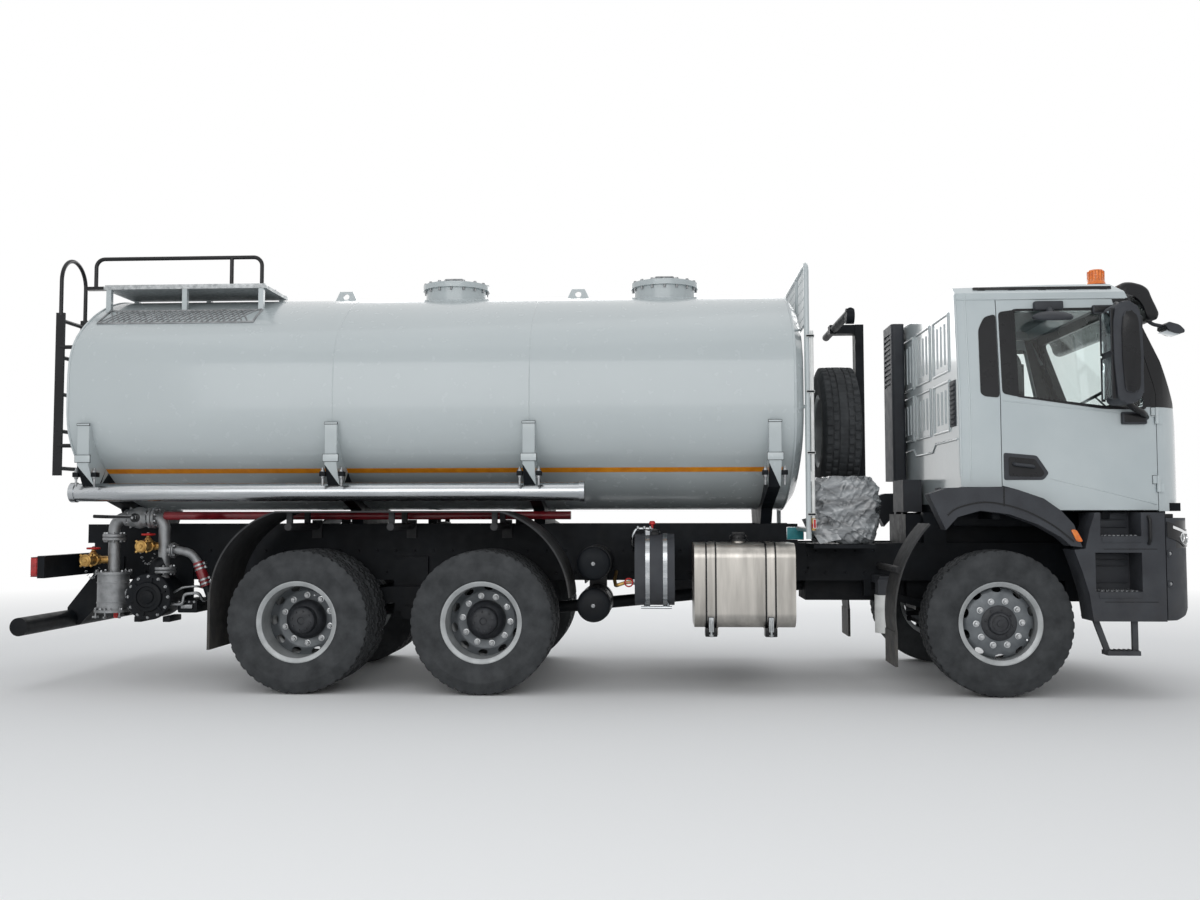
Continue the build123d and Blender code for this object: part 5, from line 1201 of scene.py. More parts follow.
    slab(bm, (px + 0.2, y - 0.06, pz - 0.13), (px + 0.36, -0.445, pz - 0.03), 0.014)
    slab(bm, (px + 0.23, y - 0.075, pz - 0.1), (px + 0.33, y - 0.055, pz - 0.06), 0.006, 1)
    for row in range(4):
        hexBolt(bm, (px + 0.215 + 0.04 * row, y - 0.06, pz - 0.045), rightward, 0.006, 0.008, 1)
    finishPiece("pump_casing", bm, ("chassisBlack", "nutSteel"))

    bm = bmesh.new()
    for x, z in pump["outlets"]:  # brass: bonnets, cap rings, lugs and handwheel spokes
        face = aim((x, y - 0.19, z), rightward)
        lathe(bm, ((0, 0.01), (0.012, 0.01), (0.016, 0.004), (0.034, 0.003), (0.04, 0.008), (0.047, 0.004),
                   (0.0485, -0.004)), face)
        for lug in range(4):
            angle = lug * pi / 2 + pi / 4
            slab(bm, (-0.01, -0.008, -0.03), (0.012, 0.008, -0.004), 0.003, 0,
                 face @ Matrix.Rotation(angle, 4, "Z") @ Matrix.Translation((0.054, 0, 0)))
        lathe(bm, ((0.03, 0.03), (0.038, 0.034), (0.038, 0.046), (0.028, 0.052), (0.022, 0.066),
                   (0.016, 0.072), (0.013, 0.09), (0, 0.09)), aim((x, y - 0.06, z), up), 24)
        lathe(bm, ((0.037, -0.02), (0.045, -0.018), (0.045, 0.004), (0.037, 0.006)),
              aim((x, y - 0.062, z), rightward), 28)
        ring = aim((x, y - 0.06, z + 0.0925), up)
        tube(bm, oval(ring, 0.046, 0.046, 32), 0.008, 8, 1, True)
        hexBolt(bm, (x, y - 0.06, z + 0.1), up, 0.008, 0.01, 2)
        start = Vector((x, y - 0.2, z - 0.05))
        for link in range(pump["links"]):  # chain that keeps the cap
            share = link / (pump["links"] - 1)
            at = start + Vector((0.075 * share, 0.09 * share, -0.085 * sin(pi * share) - 0.01 * share))
            turn = Matrix.Rotation(link * pi / 2, 4, "X") @ Matrix.Rotation(0.6, 4, "Y")
            tube(bm, oval(Matrix.Translation(at) @ turn, 0.009, 0.006, 10), 0.0018, 5, 2, True)
    finishPiece("brass_caps", bm, ("brassCast", "wheelRed", "nutSteel"))


dressPump()
print("pump set dressed")

# film-wrapped bundle behind the cab: lumps of the load under creased film, with a loose corner each side
bundle = {
    "low": (1.674, -0.886, 1.112), "high": (2.216, -0.449, 1.636), "cuts": 59, "square": 4.5, "crease": 0.024,
    "corner": ((1.775, -0.868, 1.335), (1.64, -0.8, 1.3), (1.735, -0.88, 1.113), (1.9, -0.872, 1.15)),
}


def filmCreases(spot):  # sharp ridges of stretched film over soft lumps
    lumps = noise.noise(spot * 4.5) * 0.034 + noise.noise(spot * 9.0) * 0.012
    folds = 0.0
    for lean, wide, tight in ((0.35, 2.0, 11), (-0.8, 2.6, 14), (1.6, 2.2, 10)):  # folds fan out three ways
        slanted = Vector((spot.x + lean * spot.z, spot.y, spot.z - lean * spot.x))
        folds += (1 - abs(noise.noise(Vector((slanted.x * wide, slanted.y * 5, slanted.z * tight))))) ** 8
    return lumps + bundle["crease"] * min(folds, 1.4)


def wrapBundle():
    low, high = Vector(bundle["low"]), Vector(bundle["high"])
    middle, half = (low + high) / 2, (high - low) / 2
    bm = bmesh.new()
    bmesh.ops.create_cube(bm, size=2)
    bmesh.ops.subdivide_edges(bm, edges=bm.edges[:], cuts=bundle["cuts"], use_grid_fill=True)
    power = bundle["square"]
    for vert in bm.verts:
        spread = sum(abs(value) ** power for value in vert.co) ** (1 / power)
        unit = vert.co / spread
        roll = 0.07 * exp(-((unit.z - 0.44) / 0.13) ** 2)  # the roll on top is tied off from the load
        belly = 0.09 * max(0.0, -unit.z) * abs(unit.x)
        slump = 0.1 * max(0.0, unit.z - 0.5) * max(0.0, unit.x)
        reach = 1 - 0.055 - roll - belly
        spot = middle + Vector((unit.x * half.x * reach, unit.y * half.y * reach,
                                unit.z * half.z * (0.965 - slump)))
        push = filmCreases(spot) - 0.014
        vert.co = spot + unit.normalized() * push
        for axis in range(3):
            vert.co[axis] = min(max(vert.co[axis], low[axis]), high[axis])
    for side in (-1, 1):
        corner = [Vector((x, middle.y + side * (y - middle.y) * -1, z)) for x, y, z in bundle["corner"]]
        sheet = bmesh.new()
        sheet.faces.new([sheet.verts.new(spot) for spot in corner])
        bmesh.ops.subdivide_edges(sheet, edges=sheet.edges[:], cuts=12, use_grid_fill=True)
        for vert in sheet.verts:
            vert.co.y += side * 0.018 * noise.noise(vert.co * 17) - side * 0.004
        outer = {vert: bm.verts.new(vert.co) for vert in sheet.verts}
        inner = {vert: bm.verts.new(vert.co - Vector((0, side * 0.004, 0))) for vert in sheet.verts}
        for face in sheet.faces:
            bm.faces.new([outer[vert] for vert in face.verts])
            bm.faces.new([inner[vert] for vert in reversed(face.verts)])
        for line in sheet.edges:
            if len(line.link_faces) == 1:
                first, second = line.verts
                bm.faces.new((outer[first], outer[second], inner[second], inner[first]))
        sheet.free()
    finishPiece("bundle_film", bm, ("bundleFilm",), "chassis", 60, ("wrapped_bundle",))


wrapBundle()
print("bundle wrapped")

# arch flares: seam, lower lip and amber marker; steps: panel ribs and toothed treads
flare = {
    "seam": ((3.021, 1.536), (3.019, 1.47), (3.019, 1.395)), "seamWide": 0.01, "lipWide": 0.012,
    "lip": ((2.612, 1.33), (2.686, 1.385), (2.86, 1.425), (3.019, 1.408), (3.188, 1.355), (3.349, 1.268),
            (3.459, 1.185), (3.51, 1.14)),
    "marker": ((3.489, 1.227), (3.527, 1.227), (3.574, 1.139), (3.529, 1.139)), "markerAt": (3.53, 1.183),
}
step = {"y": 1.245, "backY": 1.017, "upper": (3.72, 3.975), "lower": (3.69, 3.975), "teeth": 8,
        "upperPanels": ((1.3, 1.345), (1.24, 1.29)), "upperTread": 1.18,
        "lowerPanels": ((1.01, 1.048), (0.96, 1.0), (0.83, 0.95)), "lowerTread": 0.779,
        "shadows": (1.086, 0.705), "ribs": 7,
        "bar": ((4.04, 1.243, 1.325), (4.046, 1.262, 1.3), (4.046, 1.262, 1.15), (4.04, 1.243, 1.12))}


# raised strip along X,Z points, laid on an outer face
def ribbonOn(bm, wall, sign, path, wide, rise, paint=0):
    rings = []
    for index, (x, z) in enumerate(path):
        before, after = path[max(0, index - 1)], path[min(len(path) - 1, index + 1)]
        run = Vector((after[0] - before[0], after[1] - before[1])).normalized()
        across = Vector((-run.y, run.x)) * wide / 2
        hit = sideHit(wall, sign, x, z)
        if hit is None:
            continue
        ring = []
        for side, out in ((-1, -0.004), (-1, rise), (1, rise), (1, -0.004)):
            spot = Vector((x, z)) + across * side
            ring.append(bm.verts.new((spot.x, hit.y + sign * out, spot.y)))
        rings.append(ring)
    joinRings(bm, rings, paint)


def smoothPath(points, count=48):  # even points along a soft line through the given ones
    spots = [Vector((x, z, 0)) for x, z in points]
    reach = [0.0]
    for first, second in zip(spots, spots[1:]):
        reach.append(reach[-1] + (second - first).length)
    done = []
    for index in range(count + 1):
        want = reach[-1] * index / count
        part = max(0, min(len(spots) - 2, sum(1 for mark in reach[1:-1] if mark < want)))
        share = (want - reach[part]) / (reach[part + 1] - reach[part])
        p0, p1, p2, p3 = (spots[max(0, min(len(spots) - 1, part + shift))] for shift in (-1, 0, 1, 2))
        curve = 0.5 * (2 * p1 + (p2 - p0) * share + (2 * p0 - 5 * p1 + 4 * p2 - p3) * share ** 2 +
                       (3 * p1 - p0 - 3 * p2 + p3) * share ** 3)
        done.append((curve.x, curve.y))
    return done


def trimFlares():
    wall = surfaceOf("arch_flares")
    bm = bmesh.new()
    for sign in (-1, 1):
        ribbonOn(bm, wall, sign, smoothPath(flare["lip"]), flare["lipWide"], 0.0035, 1)
        ribbonOn(bm, wall, sign, smoothPath(flare["seam"], 6), flare["seamWide"], 0.002, 1)
        y = sideHit(wall, sign, *flare["markerAt"]).y
        plate(bm, easedOutline(flare["marker"], 0.01), 0.013, upright(y - sign * 0.003, sign), 2, 0.003)
    finishPiece("flare_trim", bm, ("trimBlack", "gloveBlack", "amberLens"), "cab")


def trimSteps():
    bm = bmesh.new()
    for sign in (-1, 1):
        back = sign * step["backY"]
        x0, x1 = step["upper"]
        for z0, z1 in step["upperPanels"]:
            slab(bm, (x0, back - sign * 0.006, z0), (x1, back + sign * 0.012, z1))
        x0, x1 = step["lower"]
        for z0, z1 in step["lowerPanels"]:
            slab(bm, (x0, back - sign * 0.006, z0), (x1, back + sign * 0.01, z1))
        # toothed tread plates
        for (x0, x1), z in ((step["upper"], step["upperTread"]), (step["lower"], step["lowerTread"])):
            for tooth in range(step["teeth"]):
                x = x0 + 0.02 + (x1 - x0 - 0.04) * tooth / (step["teeth"] - 1)
                for row in range(4):
                    y = sign * (step["y"] - 0.03 - 0.048 * row)
                    slab(bm, (x - 0.011, y - 0.012, z - 0.002), (x + 0.011, y + 0.012, z + 0.009), 0.003, 1)
            slab(bm, (x0 - 0.01, sign * (step["y"] - 0.012), z - 0.048),
                 (x1 + 0.01, sign * (step["y"] + 0.005), z - 0.004), 0.003)
        for z in step["shadows"]:  # shadow lines between the panels
            slab(bm, (3.72, sign * (step["y"] - 0.004), z - 0.004),
                 (4.1, sign * (step["y"] + 0.0015), z + 0.004), 0.0015, 2)
        for rib in range(step["ribs"]):  # ribs on the hung lower tread
            x = 3.75 + 0.034 * rib
            slab(bm, (x - 0.006, sign * 1.125, 0.35), (x + 0.006, sign * 1.232, 0.358), 0.002)
        grabBar = [(x, sign * y, z) for x, y, z in step["bar"]]
        tube(bm, roundedPath(grabBar, 0.02), 0.012, 10, 2)
        for x, reach in ((4.3, 1.05), (4.368, 0.9)):  # dark apron between the bumper and the cab's nose
            slab(bm, (4.05, sign * 0.72, 1.29), (x, sign * reach, 1.34), 0.006, 2)
    finishPiece("step_treads", bm, ("trimBlack", "castGrey", "gloveBlack"))


trimFlares()
trimSteps()

# mirrors: shaped housings with split glasses and their arms, and the kerb mirrors above the door windows
mirror = {"outline": ((3.772, 2.128), (3.748, 2.42), (3.745, 2.7), (3.768, 2.832), (3.83, 2.866),
                      (3.896, 2.852), (3.934, 2.78), (3.952, 2.46), (3.94, 2.18), (3.9, 2.125)),
          "y": (1.235, 1.466), "middle": (3.842, 2.495), "glasses": ((2.5, 2.8), (2.165, 2.465))}
kerbMirror = {"x": (3.262, 3.56), "z": (2.742, 2.836), "box": (3.31, 3.521, 2.856, 2.926),
              "half": (0.149, 0.085, 0.044)}


def shapeMirror(name, sign):
    body = "door_" + name
    near, far = mirror["y"]
    bm = bmesh.new()
    turn = upright(sign * near, sign)
    outline = easedOutline(mirror["outline"], 0.05)
    plate(bm, outline, far - near, turn, 0, 0.028)
    midX, midZ = mirror["middle"]
    inner = [(midX + (x - midX) * 0.62 + 0.018, midZ + (z - midZ) * 0.8) for x, z in outline]
    # raised panel of the end
    plate(bm, inner, 0.01, Matrix.Translation((0, sign * (far - near), 0)) @ turn, 1, 0.006)
    for z0, z1 in mirror["glasses"]:  # glasses face backwards
        slab(bm, (3.735, sign * (near + 0.02), z0), (3.757, sign * (far - 0.03), z1), 0.006, 2)
        for y in (near + 0.012, far - 0.022):
            slab(bm, (3.732, sign * y - 0.006, z0 - 0.01), (3.76, sign * y + 0.006, z1 + 0.01), 0.003, 1)
    slab(bm, (3.936, sign * (near + 0.03), 2.2), (3.968, sign * (far - 0.04), 2.76), 0.014, 1)  # front shell
    tube(bm, roundedPath(((4.085, sign * 1.145, 2.048), (4.04, sign * 1.215, 2.075),
                          (3.93, sign * 1.27, 2.12), (3.89, sign * 1.28, 2.18)), 0.06), 0.024, 14, 1)
    tube(bm, roundedPath(((3.92, sign * 1.062, 2.868), (3.88, sign * 1.18, 2.885),
                          (3.868, sign * 1.26, 2.845)), 0.04), 0.024, 14, 1)
    slab(bm, (3.902, sign * 1.14, 1.996), (4.082, sign * 1.186, 2.088), 0.022, 1)
    slab(bm, (3.742, sign * 1.056, 2.83), (3.94, sign * 1.098, 2.896), 0.018, 1)
    finishPiece("mirror_housing_" + name, bm, ("trimBlack", "gloveBlack", "mirrorGlass"), body, 40,
                ("door_mirror_" + name,))

    bm = bmesh.new()
    x0, x1, z0, z1 = kerbMirror["box"]
    slab(bm, (x0, sign * 1.06, z0), (x1, sign * 1.128, z1), 0.014)
    low, high = kerbMirror["x"], kerbMirror["z"]
    centre = Vector(((low[0] + low[1]) / 2, sign * 1.205, (high[0] + high[1]) / 2))
    tilt = Matrix.Translation(centre) @ Matrix.Rotation(sign * -0.25, 4, "X")
    cup = tilt @ Matrix.Diagonal((*kerbMirror["half"], 1))
    lathe(bm, ((0, 1), (0.35, 0.94), (0.65, 0.76), (0.87, 0.48), (0.97, 0.2), (1, 0), (0.97, -0.25),
               (0.9, -0.42)), cup, 40)
    lathe(bm, ((0.9, -0.42), (0.86, -0.36), (0.0, -0.22)), cup, 40, 1)
    tube(bm, ((3.415, sign * 1.11, 2.866), (3.413, sign * 1.17, 2.818)), 0.024)
    finishPiece("kerb_mirror_" + name, bm, ("trimBlack", "mirrorGlass"), body, 50)


for side, sign in sides.items():
    shapeMirror(side, sign)
print("flares, steps and mirrors trimmed")

# chassis side: bolt rows on the rails, straps, bands, plugs and fittings of the tanks
rail = {"y": 0.425, "rows": (0.872, 1.048), "x": (-4.05, 2.45), "pitch": 0.155}
fuelTank = {"middle": (-0.87, 0.812), "straps": (0.89, 1.33), "half": 0.028, "cap": (1.108, -0.96, 1.165)}
ureaTank = {"middle": (-0.85, 0.92), "bands": (0.42, 0.552), "half": 0.016}
airTanks = {"x": 0.015, "z": (0.973, 0.661), "end": -1.15, "radius": 0.125}


# flat band laid round a tank's section
def bandRound(bm, wall, x, half, middle, low, high, paint=0, count=72):
    rings = []
    for index in range(count):
        angle = 2 * pi * index / count
        out = Vector((0, -cos(angle), sin(angle)))
        centre = Vector((x, *middle))
        hit = wall.ray_cast(centre + out * 2, -out)[0]
        spot = hit if hit is not None else centre + out * 0.3
        rings.append([bm.verts.new(spot + out * rise + Vector((side * half, 0, 0)))
                      for side, rise in ((-1, low), (-1, high), (1, high), (1, low))])
    joinRings(bm, rings, paint, True)


def dressTanks():
    bm = bmesh.new()
    wall = surfaceOf("fuel_tank")
    for x in fuelTank["straps"]:
        for side in (-1, 1):
            edge = x + side * (fuelTank["half"] + 0.007)
            bandRound(bm, wall, edge, 0.006, fuelTank["middle"], -0.003, 0.009)
        slab(bm, (x - 0.045, -1.205, 0.438), (x + 0.045, -1.1, 0.503), 0.008)
        slab(bm, (x - 0.022, -1.214, 0.47), (x + 0.022, -1.196, 0.585), 0.005, 1)
        tube(bm, ((x, -1.216, 0.455), (x, -1.216, 0.56)), 0.008, 10, 1)
        hexBolt(bm, (x, -1.216, 0.455), (0, 0, -1), 0.013, 0.016, 1)
    cap = aim(fuelTank["cap"], up)
    lathe(bm, ((0, 0.026), (0.045, 0.026), (0.056, 0.022), (0.062, 0.012), (0.062, -0.01), (0.072, -0.012),
               (0.076, -0.026)), cap, 40)
    for rib in range(12):
        turn = cap @ Matrix.Rotation(rib * pi / 6, 4, "Z")
        slab(bm, (0.058, -0.006, -0.008), (0.067, 0.006, 0.016), 0.002, 0, turn)
    slab(bm, (-0.048, -0.009, 0.02), (0.048, 0.009, 0.04), 0.006, 0, cap)
    finishPiece("fuel_tank_straps", bm, ("gloveBlack", "galvanised"))

    bm = bmesh.new()
    wall = surfaceOf("reservoirs")
    for x in ureaTank["bands"]:
        bandRound(bm, wall, x, ureaTank["half"], ureaTank["middle"], -0.003, 0.005, 0, 96)
        hexBolt(bm, (x, -0.95, 0.648), (0, 0, -1), 0.012, 0.018)
    tube(bm, ((0.37, -1.06, 0.642), (0.602, -1.06, 0.642)), 0.01, 10)
    for x in (0.4, 0.575):
        tube(bm, ((x, -1.06, 0.642), (x, -1.02, 0.69)), 0.009, 8)
    stub = [(0.455, -0.93, 1.185), (0.455, -0.93, 1.232), (0.33, -0.93, 1.232), (0.3, -0.93, 1.16),
            (0.3, -0.7, 1.09), (0.3, -0.43, 1.06)]
    tube(bm, roundedPath(stub, 0.03), 0.013)
    lathe(bm, ((0.05, -0.006), (0.05, 0.014), (0.04, 0.022), (0.04, 0.036), (0.0, 0.04)),
          aim((0.47, -0.93, 1.19), up), 24, 2)
    for x in (0.345, 0.395, 0.44):
        lathe(bm, ((0.018, -0.01), (0.022, -0.006), (0.022, 0.006), (0.018, 0.01)),
              aim((x, -0.93, 1.232), forward), 6, 0, True)
    lathe(bm, ((0, 0.03), (0.018, 0.028), (0.024, 0.016), (0.024, 0.004), (0.01, 0.0), (0.008, -0.03)),
          aim((0.455, -0.93, 1.262), up), 16, 3)
    drain = [(0.338, -1.02, 0.832), (0.25, -1.02, 0.826), (0.178, -1.02, 0.8), (0.16, -0.8, 0.83),
             (0.16, -0.43, 0.88)]
    tube(bm, roundedPath(drain, 0.03), 0.014, 12, 1)
    tube(bm, ((0.278, -1.02, 0.828), (0.278, -1.06, 0.828)), 0.009, 10, 1)
    wheel = aim((0.278, -1.062, 0.828), rightward)
    tube(bm, oval(wheel, 0.03, 0.03, 24), 0.006, 8, 3, True)
    slab(bm, (-0.03, -0.004, -0.003), (0.03, 0.004, 0.003), 0.001, 3, wheel)
    lathe(bm, ((0.02, -0.012), (0.024, -0.008), (0.024, 0.008), (0.02, 0.012)),
          aim((0.318, -1.02, 0.83), (1, 0, 0.1)), 6, 0, True)
    slab(bm, (1.53, -0.442, 1.135), (1.668, -0.421, 1.24), 0.004, 4)  # small covered box on the subframe
    finishPiece("tank_fittings_side", bm, ("brightSteel", "brassCast", "gloveBlack", "wheelRed", "tealPaint"))

    bm = bmesh.new()
    for z in airTanks["z"]:
        face = aim((airTanks["x"], airTanks["end"], z), rightward)
        radius = airTanks["radius"]
        lathe(bm, ((radius * 1.004, -0.05), (radius * 1.012, -0.04), (radius * 1.012, -0.022),
                   (radius * 0.985, -0.006), (radius * 0.85, 0.01), (radius * 0.6, 0.021),
                   (radius * 0.3, 0.027), (0, 0.028)), face, 48)
        lathe(bm, ((0.018, 0.024), (0.018, 0.032), (0, 0.032)), face, 16)
        hexBolt(bm, face @ Vector((0, 0, 0.03)), rightward, 0.01, 0.012, 1)
        for y in (-1.02, -0.62):  # straps
            lathe(bm, ((radius + 0.001, -0.016), (radius + 0.005, -0.014), (radius + 0.005, 0.014),
                       (radius + 0.001, 0.016)), aim((airTanks["x"], y, z), (0, 1, 0)), 48, 2, True)
    for sign in (-1, 1):
        low, high = rail["x"]
        for row, z in enumerate(rail["rows"]):
            for index in range(int((high - low) / rail["pitch"])):
                x = low + index * rail["pitch"] + row * rail["pitch"] / 2
                lathe(bm, ((0, 0.008), (0.008, 0.008), (0.011, 0.004), (0.012, -0.002)),
                      aim((x, sign * rail["y"], z), (0, sign, 0)), 8)
    finishPiece("rail_bolts", bm, ("chassisBlack", "nutSteel", "gloveBlack"))


dressTanks()
print("chassis side dressed")

# black pillars: the front panel above the belt and the door frame ahead of the glass get a cover skin
pillars = {"belt": 2.125, "glassEdge": (4.078, 2.17), "glassLean": (0.69, 0.165), "skin": 0.002}


def coverSkin(name, solid, cuts, body):  # a skin over the part of a solid beyond the cutting planes
    bm = bmesh.new()
    bm.from_mesh(nodes[solid].data)
    bmesh.ops.remove_doubles(bm, verts=bm.verts[:], dist=0.00002)
    for at, out in cuts:
        done = bmesh.ops.bisect_plane(bm, geom=bm.verts[:] + bm.edges[:] + bm.faces[:], plane_co=at,
                                      plane_no=out, clear_inner=True)
        border = [line for line in done["geom_cut"] if isinstance(line, bmesh.types.BMEdge)]
        bmesh.ops.triangle_fill(bm, edges=border, use_beauty=True)
    bm.normal_update()
    moved = {vert: vert.co + vert.normal * pillars["skin"] for vert in bm.verts}
    for vert, spot in moved.items():
        vert.co = spot
    for face in bm.faces:
        face.material_index = 0
    finishPiece(name, bm, ("gloveBlack",), body, 32)


def blackenPillars():
    belt = ((0, 0, pillars["belt"]), up)
    coverSkin("pillar_covers", "cab_front_panel", (belt,), "cab")
    (x, z), (outX, outZ) = pillars["glassEdge"], pillars["glassLean"]
    for side in sides:
        coverSkin("door_frame_cover_" + side, "door_" + side, (belt, ((x, 0, z), (outX, 0, outZ))),
                  "door_" + side)


blackenPillars()

# roof: swept visor with rounded ends, front mirror on its arm, ribbed beacon on a black foot
visor = {"outline": ((3.955, 3.018), (3.99, 3.08), (4.06, 3.086), (4.14, 3.064), (4.186, 3.03),
                     (4.212, 2.955), (4.24, 2.895), (4.264, 2.835), (4.25, 2.798), (4.205, 2.788),
                     (4.166, 2.8), (4.148, 2.87), (4.112, 2.93), (4.06, 2.98), (4.0, 2.996)),
         "ends": ((1.03, 0.72), (1.026, 0.86), (1.015, 0.95), (0.995, 1.0))}
beacon = {"at": (3.873, -0.82), "foot": 3.074, "ribs": 16}
frontMirror = {"outline": ((4.296, 2.75), (4.316, 2.776), (4.396, 2.752), (4.434, 2.712), (4.43, 2.69),
                           (4.372, 2.688), (4.312, 2.716)), "y": (-1.036, -0.864)}


def dressRoof():
    bm = bmesh.new()
    outline = [Vector((x, 0, z)) for x, z in easedOutline(visor["outline"], 0.03, 3)]
    middle = sum(outline, Vector()) / len(outline)
    stations = [(-y, scale) for y, scale in visor["ends"]]
    stations += [(y, scale) for y, scale in reversed(visor["ends"])]
    rings = [[bm.verts.new(middle + (spot - middle) * scale + Vector((0, y, 0))) for spot in outline]
             for y, scale in stations]
    joinRings(bm, rings)
    for y in (-0.62, -0.21, 0.21, 0.62):  # visor brackets and marker lamps in its face
        slab(bm, (3.945, y - 0.018, 2.96), (4.06, y + 0.018, 3.01), 0.006, 1)
    for y in (-0.86, -0.3, 0.3, 0.86):
        slab(bm, (-0.004, -0.055, -0.016), (0.01, 0.055, 0.016), 0.004, 2,
             Matrix.Translation((4.227, y, 2.93)) @ Matrix.Rotation(0.36, 4, "Y"))
    near, far = frontMirror["y"]
    plate(bm, easedOutline(frontMirror["outline"], 0.02), far - near, upright(near), 1, 0.012)
    slab(bm, (-0.05, near + 0.015, -0.004), (0.05, far - 0.015, 0.004), 0.002, 3,
         Matrix.Translation((4.352, 0, 2.699)) @ Matrix.Rotation(0.3, 4, "Y"))
    arm = ((4.196, -0.95, 2.8), (4.236, -0.95, 2.768), (4.312, -0.95, 2.752))
    tube(bm, roundedPath(arm, 0.03), 0.014, 12, 1)
    foot = aim((*beacon["at"], beacon["foot"]), up)
    lathe(bm, ((0.098, 0.0), (0.098, 0.012), (0.084, 0.02), (0.074, 0.02)), foot, 40, 1)
    lathe(bm, ((0.07, 0.015), (0.068, 0.04), (0.0655, 0.046), (0.0625, 0.05), (0.0615, 0.066), (0.06, 0.068),
               (0.061, 0.071), (0.0605, 0.088), (0.059, 0.09), (0.06, 0.093), (0.0595, 0.11), (0.058, 0.112),
               (0.0585, 0.115), (0.0575, 0.128), (0.052, 0.137), (0.04, 0.1405), (0, 0.142)), foot, 48, 4)
    for rib in range(beacon["ribs"]):
        turn = foot @ Matrix.Rotation(2 * pi * rib / beacon["ribs"], 4, "Z")
        slab(bm, (0.056, -0.0022, 0.05), (0.0632, 0.0022, 0.128), 0.001, 4, turn)
    slab(bm, (-0.014, -0.076, 0.02), (0.014, -0.064, 0.036), 0.003, 1, foot)
    finishPiece("roof_details", bm, ("gloveBlack", "trimBlack", "amberLens", "mirrorGlass", "amberLens"),
                "cab", 40, ("roof_fittings",))


dressRoof()

# bumper corners: dark lamp glass with a light bar, two lenses, a lower strip and two bolts; heights by angle
headlamp = {"centre": (4.042, 0.845), "from": 20, "to": 86, "columns": 26, "rows": 7,
            "low": ((20, 1.172), (38, 1.135), (50, 1.098), (86, 1.096)),
            "high": ((20, 1.284), (31, 1.262), (50, 1.228), (86, 1.222)),
            "bolts": ((23.5, 1.052), (23.5, 0.834)), "lenses": ((44, 1.168), (66, 1.16))}
floorMember = {"x": (2.8, 4.1), "y": (0.6, 0.664), "z": (1.246, 1.364), "crossX": (3.02, 3.42, 3.82)}


def along(table, angle):  # height at this angle, from a table of corners
    for (a0, z0), (a1, z1) in zip(table, table[1:]):
        if angle <= a1:
            return z0 + (z1 - z0) * (angle - a0) / (a1 - a0)
    return table[-1][1]


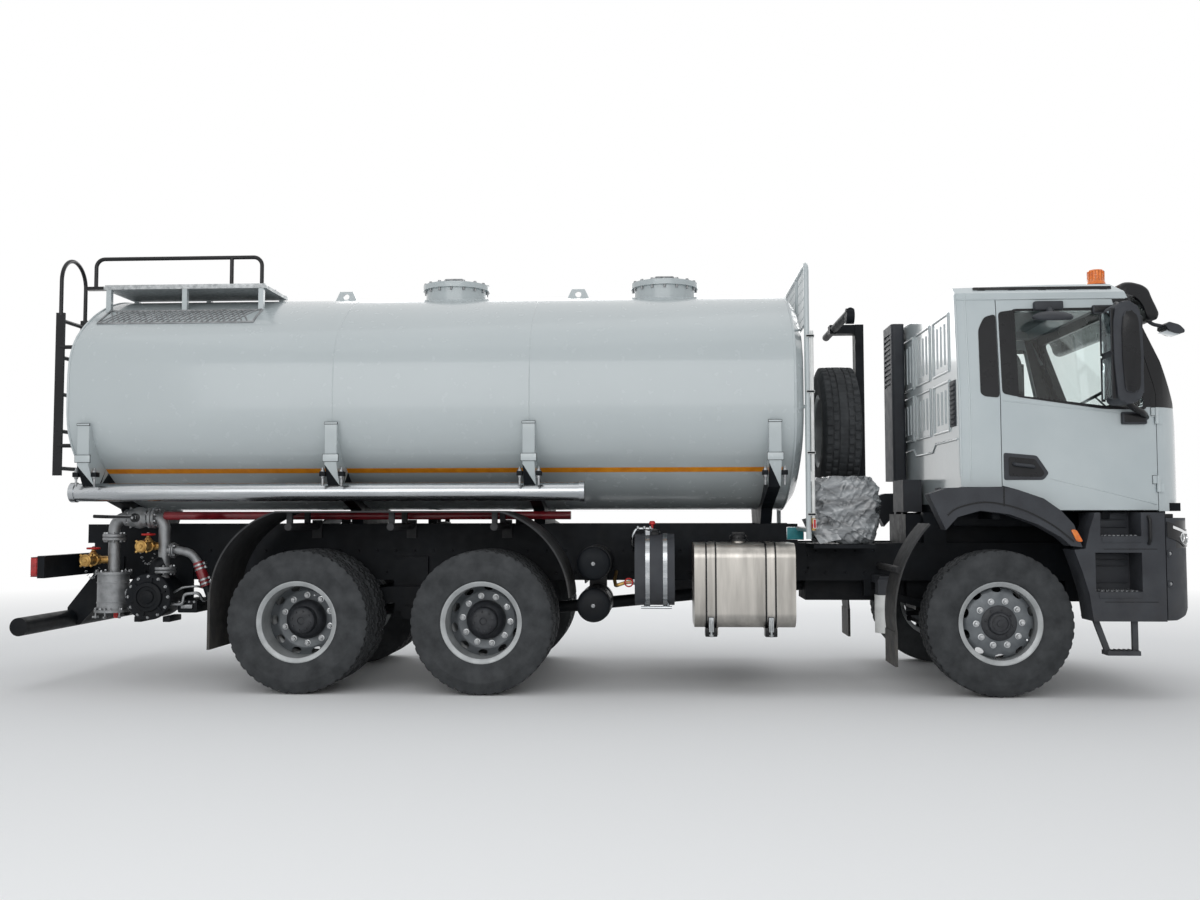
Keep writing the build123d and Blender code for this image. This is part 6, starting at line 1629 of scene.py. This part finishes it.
def dressBumper():
    walls = (surfaceOf("bumper"), surfaceOf("lamps"))
    x0, y0 = headlamp["centre"]
    bm = bmesh.new()

    def corner(sign, angle, z, rise=0.0):
        turn = radians(angle)
        out = Vector((sin(turn), sign * cos(turn), 0))
        start = Vector((x0, sign * y0, z))
        hits = [wall.ray_cast(start + out, -out)[0] for wall in walls]
        spot = max((hit for hit in hits if hit is not None), key=lambda hit: (hit - start).dot(out))
        return spot + out * rise, out

    def strip(sign, angles, lowOf, highOf, rise, sink, paint, rows):
        grid = []
        for angle in angles:
            low, high = lowOf(angle), highOf(angle)
            column = [corner(sign, angle, low, -sink)[0]]
            column += [corner(sign, angle, low + (high - low) * row / rows, rise)[0]
                       for row in range(rows + 1)]
            column.append(corner(sign, angle, high, -sink)[0])
            grid.append([bm.verts.new(spot) for spot in column])
        joinRings(bm, grid, paint)

    span = headlamp["to"] - headlamp["from"]
    for sign in (-1, 1):
        angles = [headlamp["from"] + span * step / headlamp["columns"]
                  for step in range(headlamp["columns"] + 1)]
        strip(sign, angles, lambda a: along(headlamp["low"], a), lambda a: along(headlamp["high"], a), 0.006,
              0.006, 0, headlamp["rows"])
        strip(sign, angles[3:-2], lambda a: along(headlamp["high"], a) - 0.034,
              lambda a: along(headlamp["high"], a) - 0.014, 0.009, 0.0, 1, 1)
        strip(sign, angles[9:-3], lambda a: along(headlamp["low"], a) + 0.01,
              lambda a: along(headlamp["low"], a) + 0.02, 0.009, 0.0, 2, 1)
        for angle, z in headlamp["lenses"]:
            at, out = corner(sign, angle, z, 0.004)
            place = aim(at, out)
            lathe(bm, ((0.034, -0.004), (0.034, 0.007), (0.028, 0.008), (0.025, 0.003)), place, 32, 1)
            lathe(bm, ((0.025, 0.003), (0.019, 0.008), (0.01, 0.011), (0, 0.012)), place, 32, 2)
        for angle, z in headlamp["bolts"]:
            at, out = corner(sign, angle, z, 0.0)
            place = aim(at, out)
            washer = ((0.03, -0.002), (0.03, 0.003), (0.024, 0.005), (0.018, 0.002), (0.016, -0.002))
            lathe(bm, washer, place, 28, 3)
            hexBolt(bm, at, out, 0.0085, 0.007, 4)
    finishPiece("headlamp_clusters", bm, ("gloveBlack", "lampChrome", "clearLens", "trimBlack", "nutSteel"))

    bm = bmesh.new()
    spots = [vert.co for vert in nodes["lamps"].data.vertices if vert.co.x < 0]
    rear, front = min(spot.x for spot in spots), max(spot.x for spot in spots)
    bottom, top = min(spot.z for spot in spots), max(spot.z for spot in spots)
    inside, outside = min(abs(spot.y) for spot in spots), max(abs(spot.y) for spot in spots)
    wide = (outside - inside) / 4
    for sign in (-1, 1):
        for cell in range(4):  # cells of each tail lamp
            y = sign * (inside + wide * (cell + 0.5))
            slab(bm, (rear - 0.006, y - wide * 0.44, bottom + 0.01),
                 (rear + 0.006, y + wide * 0.44, top - 0.01), 0.005, (2, 1, 0, 0)[cell])
        for z in (bottom + 0.004, top - 0.004):
            slab(bm, (rear - 0.003, sign * inside, z - 0.004), (front, sign * outside, z + 0.004), 0.002, 3)
        slab(bm, (rear + 0.006, sign * (outside - 0.004), bottom + 0.012),
             (front - 0.01, sign * (outside + 0.005), top - 0.012), 0.003)
    finishPiece("tail_lamp_cells", bm, ("redLens", "amberLens", "clearLens", "gloveBlack"))

    bm = bmesh.new()  # long members under the cab floor
    for sign in (-1, 1):
        (rear, front), (inside, outside), (bottom, top) = floorMember["x"], floorMember["y"], floorMember["z"]
        slab(bm, (rear, sign * inside, bottom), (front, sign * outside, top), 0.012)
        for x in floorMember["crossX"]:
            slab(bm, (x - 0.03, sign * 0.655, 1.3), (x + 0.03, sign * 1.04, 1.363), 0.008)
    finishPiece("cab_floor_members", bm, ("chassisBlack",), "cab")


dressBumper()
print("pillars, roof and bumper dressed")
